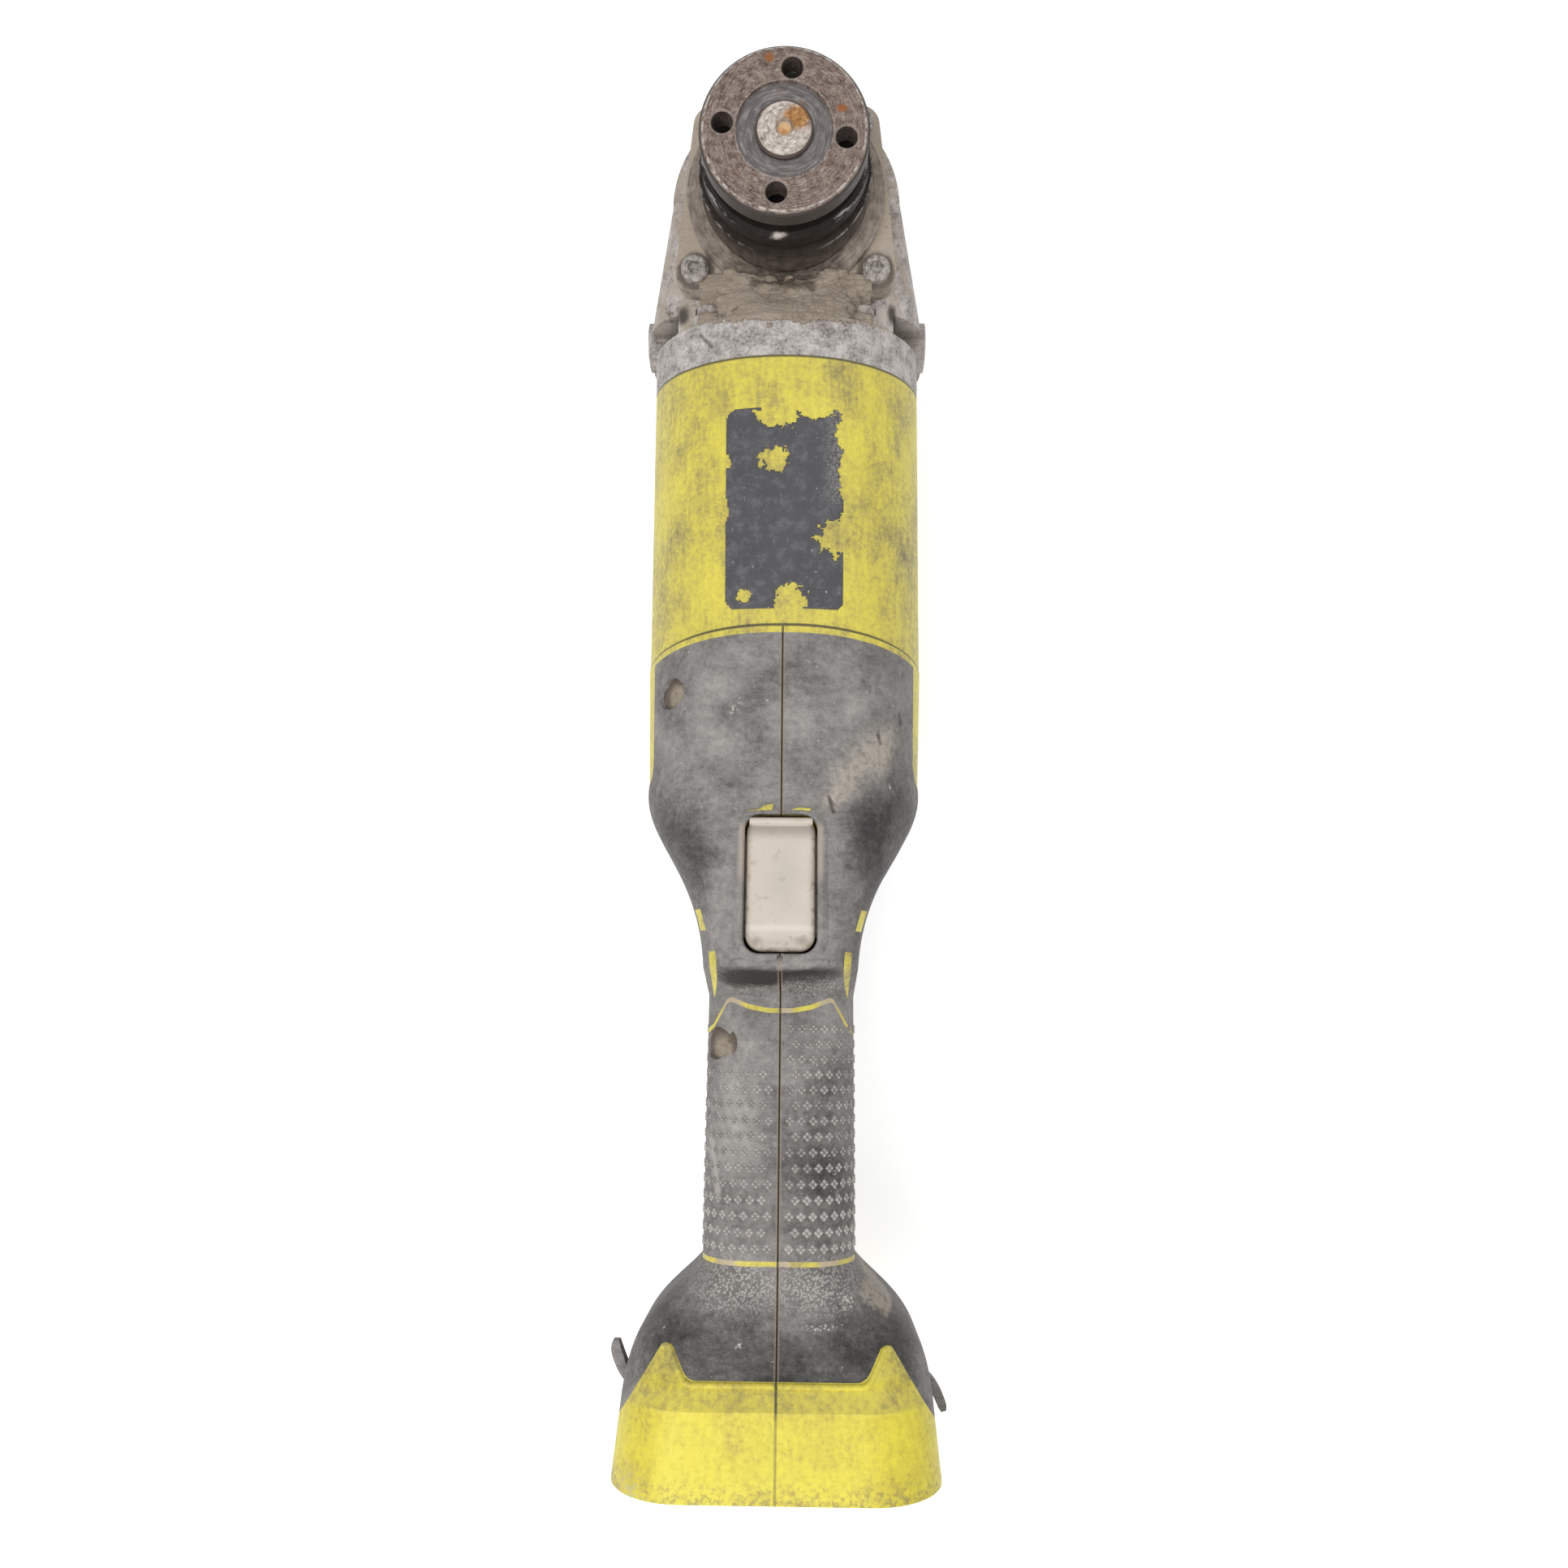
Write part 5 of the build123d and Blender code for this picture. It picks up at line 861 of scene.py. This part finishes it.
# %% [markdown]
# ## The label
#
# A thin dark sheet is stuck on the front of the barrel. It is blank here. Wear has torn patches out of it,
# so the sheet is a fine grid that follows the barrel, and the cells inside a ragged patch are left out:
# the lime plastic shows through real holes. A solidify modifier gives it the thickness of foil.

# %% The label
LABEL_X = (-15.2, 15.9)
LABEL_Y = (-57.8, -110.4)
LABEL_CORNER = 3.2
LABEL_CELL = 0.4
LABEL_LIFT = 0.18
FOIL_T = 0.16
PEELED = [(-1.8, -59.5, 5.6, 3.4), (8.0, -58.6, 5.2, 1.9), (-2.6, -71.4, 3.7, 3.1),
          (15.4, -91.0, 6.4, 5.0), (1.6, -108.6, 4.3, 4.8), (-10.3, -106.7, 2.0, 1.6),
          (15.8, -64.0, 2.4, 4.5), (16.0, -74.5, 1.7, 5.5), (-15.2, -71.5, 1.2, 2.2),
          (-15.4, -84.0, 0.9, 3.0)]


def label_foil():
    foil = Finish("label_foil")
    fine = foil.noise(0.7, 5.0, 0.7)
    cloud = foil.noise(9, 5.0, 0.6)
    foil.colour = foil.mix(cloud, (0.052, 0.051, 0.058), (0.100, 0.097, 0.105))
    upper_right = foil.axis("X").rise(8.5, 15.5) * foil.axis("Y").rise(-86, -78)
    foil.coat(upper_right * fine.rise(0.42, 0.60), (0.42, 0.40, 0.36), 0.6)
    foil.coat(foil.noise(3.0, 6.0, 0.75).rise(0.46, 0.66), (0.20, 0.195, 0.20), 0.4)
    scratches = foil.noise(0.8, 3.0, 0.6, foil.stretched((1.0, 0.12, 1.0), -0.5))
    foil.coat(scratches.rise(0.69, 0.74), (0.45, 0.43, 0.40), 0.5)
    foil.coat(foil.noise(0.9, 2.0).rise(0.71, 0.75), (0.66, 0.64, 0.60), 0.75)
    foil.bump(fine, 0.06, 0.5)
    return foil.done(cloud.rise(0.3, 0.7, 0.46, 0.62), 0.0, 0.3)


def label_kept(x, y):
    """Whether the label still covers a place: inside its rounded corners and outside the torn patches."""
    inset_x = max(LABEL_X[0] + LABEL_CORNER - x, x - LABEL_X[1] + LABEL_CORNER, 0.0)
    inset_y = max(LABEL_Y[1] + LABEL_CORNER - y, y - LABEL_Y[0] + LABEL_CORNER, 0.0)
    if hypot(inset_x, inset_y) > LABEL_CORNER:
        return False
    ragged = 0.55 * field.noise((x * 0.55, y * 0.55, 2.0)) + 0.25 * field.noise((x * 1.7, y * 1.7, 5.0))
    return all(hypot((x - px) / rx, (y - py) / ry) + ragged > 1.0 for px, py, rx, ry in PEELED)


def label_sheet():
    columns = int((LABEL_X[1] - LABEL_X[0]) / LABEL_CELL) + 1
    rows = int((LABEL_Y[0] - LABEL_Y[1]) / LABEL_CELL) + 1
    places = [(LABEL_X[0] + j * LABEL_CELL, LABEL_Y[0] - i * LABEL_CELL)
              for i in range(rows) for j in range(columns)]
    points = [Vector((x, y, height_at(barrel_skin, x, y) + LABEL_LIFT)) * mm for x, y in places]
    faces = []
    for face in grid_faces(rows, columns):
        x = sum(places[i][0] for i in face) / 4
        y = sum(places[i][1] for i in face) / 4
        if label_kept(x, y):
            faces.append(face[::-1])
    thicken(piece("barrel_label", points, faces, label_foil(), closed=False), FOIL_T)


label_sheet()

# %% [markdown]
# ## Grip dots
#
# The palm carries rows of small raised crosses, each made of four low pyramids, staggered from row to row.
# The section of the grip is a flat, a round corner and a straight side, so a place is found by walking the
# arc length from the seam. Dots that would fall into the screw recess are left out. Each point keeps how far
# up its pyramid it is, and the finish pales the tips by that: a painted highlight, with the bases left
# darker.

# %% Grip dots
GRIP_FLAT = 6.4
GRIP_ROUND = 13.0
GRIP_FRONT = 21.8
DOT_ROWS = 15
DOT_FIRST = 90.2
DOT_ROW_PITCH = 3.78
DOT_START = 2.7
DOT_PITCH = 2.95
DOT_COLUMNS = 10
DOT_LOBE = 0.66
DOT_HALF = 0.70
DOT_HEIGHT = 0.42
DOT_SUNK = 0.05
WORN_ROWS = 5
WORN_HEIGHT = 0.7
RECESS = (94.0, 16.5)
RECESS_CLEAR = 6.6


def grip_place(walk):
    """Place and outward direction on the grip's section after walking an arc length from the seam."""
    centre = (GRIP_FLAT, GRIP_FRONT - GRIP_ROUND)
    turn = max(walk - GRIP_FLAT, 0.0) / GRIP_ROUND
    down = max(turn - pi / 2, 0.0) * GRIP_ROUND
    turn = min(turn, pi / 2)
    flat = min(walk, GRIP_FLAT) - GRIP_FLAT
    place = (centre[0] + flat + GRIP_ROUND * sin(turn), centre[1] + GRIP_ROUND * cos(turn) - down)
    return place, (sin(turn), cos(turn))


def pyramid(points, faces, side, walk, along, half, height):
    start = len(points)
    for dw, da, up in ((half, 0, 0), (0, half, 0), (-half, 0, 0), (0, -half, 0), (0, 0, height)):
        (x, out), (nx, nout) = grip_place(walk + dw)
        rise = up - DOT_SUNK
        points.append(on_handle(side * (x + nx * rise), along + da, out + nout * rise))
    for i in range(4):
        face = (start + i, start + (i + 1) % 4, start + 4)
        faces.append(face[::-1] if side < 0 else face)


def grip_dots(name, side):
    points, faces = [], []
    for row in range(DOT_ROWS):
        along = DOT_FIRST + row * DOT_ROW_PITCH
        for column in range(DOT_COLUMNS):
            walk = DOT_START + (column + 0.5 * (row % 2)) * DOT_PITCH
            (_, out), _ = grip_place(walk)
            if side < 0 and hypot(along - RECESS[0], out - RECESS[1]) < RECESS_CLEAR:
                continue
            worn = WORN_HEIGHT if side < 0 and row < WORN_ROWS else 1.0
            for dw, da in ((DOT_LOBE, 0), (-DOT_LOBE, 0), (0, DOT_LOBE), (0, -DOT_LOBE)):
                pyramid(points, faces, side, walk + dw, along + da, DOT_HALF, DOT_HEIGHT * worn)
    thing = piece(name, points, faces, dot_finish, smooth=False, closed=False)
    rise = thing.data.attributes.new("rise", "FLOAT", "POINT")
    rise.data.foreach_set("value", [1.0 if i % 5 == 4 else 0.0 for i in range(len(points))])


def dot_rubber():
    dots = Finish("dot_rubber")
    fine = dots.noise(0.5, 4.0, 0.7)
    cloud = dots.noise(7, 5.0, 0.6)
    # painted highlight: the tips of the dots are paler, their bases darker
    tip_highlight = Value(dots, dots.add("ShaderNodeAttribute", attribute_name="rise").outputs["Fac"])
    low = dots.along().rise(112, 142)
    left = dots.axis("X").fall(-8, 6)
    tone = tip_highlight ** 0.6 * 0.56 + fine * 0.75 + cloud * 0.75 + low * 0.14 - left * 0.02 - 0.64
    dots.colour = dots.tones(tone, (0.05, (0.085, 0.078, 0.073)), (0.35, (0.240, 0.224, 0.212)),
                             (0.75, (0.55, 0.52, 0.49)))
    return dots.done(0.8, 0.0, 0.3)


dot_finish = dot_rubber()
grip_dots("palm_dots_right", 1)
grip_dots("palm_dots_left", -1)

# %% [markdown]
# ## Around the trigger
#
# The rubber swells into a soft rim around the trigger opening, low at the top and full at the sides. A
# rounded chin runs along the step below it. The trigger has a raised lip at its upper end, which moves with
# it, and two flecks of lime show above it where the rubber has worn through.

# %% Around the trigger
TRIGGER_ALONG = 54.7
OPENING_HALF_W = 9.4
OPENING_HALF_L = 17.7
OPENING_CORNER = 4.2
BEZEL_W = 2.9
BEZEL_H = 1.4
BEZEL_STEPS = 8
BEZEL_END = 19.6
BEZEL_LOW = 0.25
BEZEL_SUNK = 0.35
SEAM_CLEAR = 0.5
SEAM_HALF_W = 0.76
CHIN_ALONG = 74.6
CHIN_HALF_W = 12
CHIN_REACH = 13.5
CHIN_BOW = 0.0035
CHIN_SUNK = 0.7
CHIN_THICK = 1.9
LIP_HALF_W = 8.0
LIP_ALONG = 39.0
LIP_OUT = 36.6
LIP_THICK = 1.0
FLECK_LIFTS = (0.6, -0.4)


def off_seam(x):
    """A place just beside the seam for a ray that would fall into it."""
    return x if abs(x) > SEAM_CLEAR else SEAM_CLEAR


def opening_loop(grow, count=12, straight=14):
    """Points round the trigger's opening, grown by grow, corners and straight sides alike."""
    reach_x, reach_y = OPENING_HALF_W - OPENING_CORNER, OPENING_HALF_L - OPENING_CORNER
    loop = []
    for index, (sx, sy) in enumerate(((1, 1), (-1, 1), (-1, -1), (1, -1))):
        for k in range(count + 1):
            turn = (index + k / count) * pi / 2
            x = sx * reach_x + (OPENING_CORNER + grow) * cos(turn)
            y = sy * reach_y + (OPENING_CORNER + grow) * sin(turn)
            loop.append((x, y))
        end = loop[-1]
        step_x = -2 * sx * reach_x * (1 - index % 2) / straight
        step_y = -2 * sy * reach_y * (index % 2) / straight
        loop += [(end[0] + step_x * k, end[1] + step_y * k) for k in range(1, straight)]
    return loop


def trigger_frame():
    """The rim: a wall up from inside the opening, then rows that swell and sink back to the skin."""
    skin = [front_at(off_seam(x), TRIGGER_ALONG + along) for x, along in opening_loop(0.6)]
    points = [on_handle(x, TRIGGER_ALONG + along, front - BEZEL_H)
              for (x, along), front in zip(opening_loop(0.0), skin)]
    count = len(points)
    for i in range(BEZEL_STEPS + 1):
        part = i / BEZEL_STEPS
        for k, (x, along) in enumerate(opening_loop(BEZEL_W * part)):
            front = skin[k]
            if i > 1:
                front = front_at(off_seam(x), TRIGGER_ALONG + min(along, BEZEL_END))
            full = BEZEL_LOW + (1.0 - BEZEL_LOW) * clamp((along + 15.0) / 14.0)
            rise = BEZEL_H * full * sin(pi * min(0.3 + 0.7 * part, 1.0)) - BEZEL_SUNK * part
            points.append(on_handle(x, TRIGGER_ALONG + along, front + rise))
    faces = [face[::-1] for face in grid_faces(BEZEL_STEPS + 2, count, ring=True)
             if max(abs(points[i].x) for i in face) > SEAM_HALF_W * mm]
    piece("trigger_frame", points, faces, rubber_finish, closed=False)


def chin():
    places = [(x, CHIN_ALONG - CHIN_BOW * x * x) for x in range(-CHIN_HALF_W, CHIN_HALF_W + 1)]
    path = [on_handle(x, along, front_at(off_seam(x), along) - CHIN_SUNK) for x, along in places]
    thick = [CHIN_THICK * sqrt(max(1.0 - (x / CHIN_REACH) ** 2, 0.05)) for x, _ in places]
    tube("trigger_chin", path, thick, rubber_finish)


def trigger_lip():
    path = [on_handle(LIP_HALF_W * k / 16, LIP_ALONG, LIP_OUT) for k in range(-16, 17)]
    tube("trigger_lip", path, [LIP_THICK] * len(path), trigger_finish, "trigger")


def fleck(name, outline):
    """A flat scrap on the rubber: its outline just above the skin, and the same outline below it."""
    points = [on_handle(x, along, front_at(x, along) + lift) for lift in FLECK_LIFTS for x, along in outline]
    count = len(outline)
    sides = [(k, (k + 1) % count, count + (k + 1) % count, count + k) for k in range(count)]
    faces = [tuple(range(count)), tuple(range(2 * count - 1, count - 1, -1))] + sides
    piece(name, points, faces, lime_finish, smooth=False)


trigger_frame()
chin()
trigger_lip()
fleck("bare_fleck_left", [(-8.6, 36.5), (-5.6, 36.2), (-4.2, 35.1), (-1.9, 34.8), (-2.3, 36.4)])
fleck("bare_fleck_right", [(2.5, 36.2), (4.6, 35.7), (7.6, 36.0), (7.2, 36.5)])

# %% [markdown]
# ## Springs that shorten
#
# The return springs of the trigger and of the spindle lock get shorter as the button over them is pushed
# in. A CAD node is rigid, so a copy of its mesh, tied to the housing, stands for it here; its length and the
# joint's travel are printed.

# %% Springs that shorten
def soft_spring(name, node, joint, seat):
    """A copy of a CAD spring, tied to the housing in place of the CAD node; seat points from its moving end
    to its fixed one.
    """
    coil = bpy.data.objects.new(name, nodes[node].data.copy())
    bpy.context.scene.collection.objects.link(coil)
    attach(coil, "housing")
    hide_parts(node)
    reach = [corner.co.dot(seat) for corner in coil.data.vertices]
    length = max(reach) - min(reach)
    travel = next(row for row in frame["joints"] if row["name"] == joint)["range_m"][1]
    1.0 - travel / length
    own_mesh(coil)
    print(name, round(length / mm, 1), "mm long, shortens by", round(travel / mm, 1), "mm")


soft_spring("trigger_coil", "trigger_spring", "trigger_squeeze", -OUTWARDS)
soft_spring("lock_coil", "lock_spring", "spindle_lock_press", Vector((0.0, 0.0, 1.0)))

# %% [markdown]
# ## Caked dust
#
# Dust has filled the valley between the bearing cover and the band of the gear case, and the two screw
# recesses of the left half. The crust in the valley is a grid of heights: a ramp from the ring to the band,
# lumps from a noise field, and hollows around the screws. Cells that lie wholly under the metal are left out.
# Each recess fill is a closed lump whose upper left side carries painted shade, like the shadow of the recess
# wall.

# %% Caked dust
RING_R = 26.0
RING_HALF_W = 21.0
VALLEY_LOW = -18.3
VALLEY_END = 33.2
BAND_R = 37.4
BAND_Z = -52.4
BAND_EDGE_Y = -33.0
RING_BACK_Y = -27.0
COLLAR_FOOT_Z = -17.9
UNDER_RING_Z = -19.2
BARE = -40.0
SCREW_Y = -19.5
DUST_T = 0.2
CRUST_CELL = 0.5
CRUST_COLUMNS = 93
CRUST_ROWS = 34
CRUST_START = -20.4
CRUST_T = 0.5
# name: along and out on the handle, mouth across, slope of the face, floor across, half width
RECESS_FILLS = {"recess_dust_upper": (2.9, 29.0, -28.9, 0.85, -20.2, 4.7),
                "recess_dust_lower": (94.0, 16.8, -15.5, 0.735, -10.6, 4.8)}
RECESS_FLOOR_R = 3.8


def sand_finish():
    sand = Finish("caked_dust")
    fine = sand.noise(0.8, 5.0, 0.7)
    ripple = sand.cells(2.6, "DISTANCE_TO_EDGE", sand.stretched((1.0, 2.2, 1.0)))
    sand.colour = sand.mix(sand.noise(6, 5.0), (0.25, 0.20, 0.155), (0.43, 0.365, 0.295))
    sand.coat(fine.rise(0.5, 0.7), (0.53, 0.47, 0.40), 0.5)
    crack = ripple.fall(0.0, 0.10) * sand.axis("X").rise(-6, 6, 0.35, 1.0)
    sand.coat(crack, (0.12, 0.095, 0.075), 0.45)
    furrow = sand.stroke((-8.0, -24.2), (7.0, -25.0), 2.3, 1.0, 2.6, 2.6)
    stain = sand.noise(3.2, 6.0, 0.75).rise(0.55, 0.66)
    sand.coat(stain * 0.6 | furrow * 0.8, (0.075, 0.059, 0.047))
    for along, out, mouth, *_ in RECESS_FILLS.values():
        x, y, _ = on_handle(mouth, along, out) / mm
        recess = sand.blob(x, y, 7, 8, 0.1)
        open_side = sand.blob(x + 0.9, y - 1.1, 3.3, 4.4, 0.55, 0.4)
        # painted shade: the recess wall's shadow on the upper left of the fill
        sand.coat(recess * (1.0 - open_side), (0.085, 0.066, 0.054), 0.75)
        sand.coat(recess * fine.rise(0.58, 0.68), (0.14, 0.105, 0.08), 0.5)
    sand.bump(ripple, 0.5, 0.6)
    sand.bump(fine, 0.2, 0.7)
    return sand.done(0.95, 0.0, 0.2)


def soft(value, low, high):
    """0 below low, 1 above high, a smooth rise between."""
    part = clamp((value - low) / (high - low))
    return part * part * (3.0 - 2.0 * part)


def crust_height(x, y):
    """Top of the caked dust and of the metal under it, in millimetres."""
    metal = height_at(head_skin, x, y)
    if y > RING_BACK_Y and metal > COLLAR_FOOT_Z:
        return UNDER_RING_Z, metal
    lump = field.noise((x * 0.35, y * 0.5, 1.0)) + 0.5 * field.noise((x * 1.1, y * 1.4, 4.0))
    ring = -sqrt(RING_R**2 - min(abs(x), RING_HALF_W) ** 2)
    # a ramp from the ring up to the band, lower at the sides and around the screws
    low = VALLEY_LOW - 2.9 * soft(abs(x), 9.0, 18.0)
    high = BAND_Z + sqrt(BAND_R**2 - max(abs(x) - 0.6, 0.0) ** 2) - 0.3
    fill = low + (high - low) * soft(-y, -ring, VALLEY_END) + 0.35 * lump
    fill -= 9.0 * soft(abs(x) + 3.4 * lump, 15.5, 23.0) * soft(-y, 24.0, 27.0)
    for screw_x in (-SCREW_X, SCREW_X):
        fill -= 4.0 * (1.0 - soft(hypot(x - screw_x, y - SCREW_Y), 5.4, 7.6))
    # a fold across the middle, and a thin layer that fades out on the ring and on the band
    ridge = 1.3 * exp(-((x + 1.5) / 7.0) ** 2 - ((y + 25.4) / 1.2) ** 2) * (0.8 + lump)
    layer = DUST_T - 0.25 * max(y - ring - 0.9 - 2.6 * lump, 0.0)
    if y < BAND_EDGE_Y:
        layer = DUST_T - 0.35 * max(BAND_EDGE_Y - y - 0.9 * (1.0 - (x / 15.0) ** 2) - 0.8 * lump, 0.0)
    return max(fill if y < ring else BARE, metal + layer) + ridge, metal


def valley_dust():
    points, deep = [], []
    for i in range(CRUST_ROWS):
        for j in range(CRUST_COLUMNS):
            x, y = (j - (CRUST_COLUMNS - 1) / 2) * CRUST_CELL, CRUST_START - i * CRUST_CELL
            top, metal = crust_height(x, y)
            points.append(Vector((x, y, top)) * mm)
            deep.append(top < metal - 0.05)
    faces = [face for face in grid_faces(CRUST_ROWS, CRUST_COLUMNS) if not all(deep[i] for i in face)]
    used = sorted({i for face in faces for i in face})
    order = {old: new for new, old in enumerate(used)}
    faces = [tuple(order[i] for i in face) for face in faces]
    crust = piece("valley_dust", [points[i] for i in used], faces, dust_finish, closed=False)
    thicken(crust, CRUST_T)


def recess_dust(name, along, out, mouth, slope, floor_x, half, rings=8, count=28):
    """Fill of a screw recess: its face leans like the skin around it and spills a little over the rim."""
    turns = [2 * pi * k / count for k in range(count)]
    points = [on_handle(mouth, along, out)]
    for i in range(1, rings + 1):
        reach = half * i / rings
        sunk = 0.5 * (i / rings) ** 4
        for turn in turns:
            a, f = reach * cos(turn), reach * sin(turn)
            lump = 0.5 * field.noise((a * 0.7, f * 0.7, along))
            points.append(on_handle(mouth + slope * f + lump + sunk, along + a, out + f))
    for turn in turns:
        a, f = RECESS_FLOOR_R * cos(turn), RECESS_FLOOR_R * sin(turn)
        points.append(on_handle(floor_x, along + a, out + f))
    faces = [(0, 1 + k, 1 + (k + 1) % count) for k in range(count)]
    faces += [face[::-1] for face in grid_faces(rings + 1, count, ring=True, start=1)]
    piece(name, points, faces, dust_finish)


dust_finish = sand_finish()
valley_dust()
for name, fill in RECESS_FILLS.items():
    recess_dust(name, *fill)

# %% [markdown]
# ## Torn rubber and the lip of the foot
#
# On each flank of the foot a tongue of rubber has come loose and bends outwards. Each is a short curved strip
# that starts under the skin and thins towards its tip. The lime shell has a rounded lip where it meets the
# saddle; it is a thin tube that follows the edge on the shell, one for each half.

# %% Torn rubber and the lip of the foot
FLAP_OUT = 6.0
FLAP_W = 5.0
FLAP_TAPER = 0.4
LEFT_BEND = [(-1.2, 176.5, 2.4), (0.6, 174.6, 2.4), (2.0, 172.0, 2.6), (2.9, 169.6, 2.5), (3.0, 167.8, 1.6)]
RIGHT_BEND = [(-1.2, 175.0, 2.2), (0.6, 176.6, 2.3), (2.2, 179.2, 2.4), (3.2, 181.6, 2.2), (3.6, 183.0, 1.4)]
FOOT_EDGE = [(27.9, 165.6), (26.9, 165.0), (26.0, 165.0), (25.3, 165.9), (22.4, 170.7), (20.9, 171.9),
             (18.6, 172.1), (12.0, 172.1), (6.0, 172.1), (0.4, 172.1)]
FOOT_LIP_R = 0.75
FOOT_LIP_SUNK = 0.15


def torn_flap(name, side, bend):
    """A strip along bend, a list of (off the flank, along the handle, thickness)."""
    start = flank_at(side, bend[0][1], FLAP_OUT)
    path = curve(bend, 6)
    points = []
    for i, (off, along, thick) in enumerate(path):
        ahead = tangent(path, i)
        tilt = Vector((ahead.y, -ahead.x)).normalized() * thick / 2
        half = FLAP_W / 2 * (1.0 - FLAP_TAPER * i / len(path))
        for turn, up in ((-1, -half), (-1, half), (1, half), (1, -half)):
            across = side * (start + off + turn * tilt.x)
            points.append(on_handle(across, along + turn * tilt.y, FLAP_OUT + up))
    last = len(points) - 4
    faces = grid_faces(len(path), 4, ring=True) + [(0, 1, 2, 3), tuple(last + k for k in range(4))]
    piece(name, points, faces, rubber_finish, smooth=False)


def foot_lip(name, side):
    run = curve(FOOT_EDGE)
    path = [on_handle(side * x, along, front_at(side * x, along) - FOOT_LIP_SUNK) for x, along in run]
    thick = [FOOT_LIP_R * min(1.0, 0.3 + i / 6) for i in range(len(path))]
    tube(name, path, thick, lime_finish)


torn_flap("torn_flap_left", -1, LEFT_BEND)
torn_flap("torn_flap_right", 1, RIGHT_BEND)
foot_lip("foot_lip_left", -1)
foot_lip("foot_lip_right", 1)
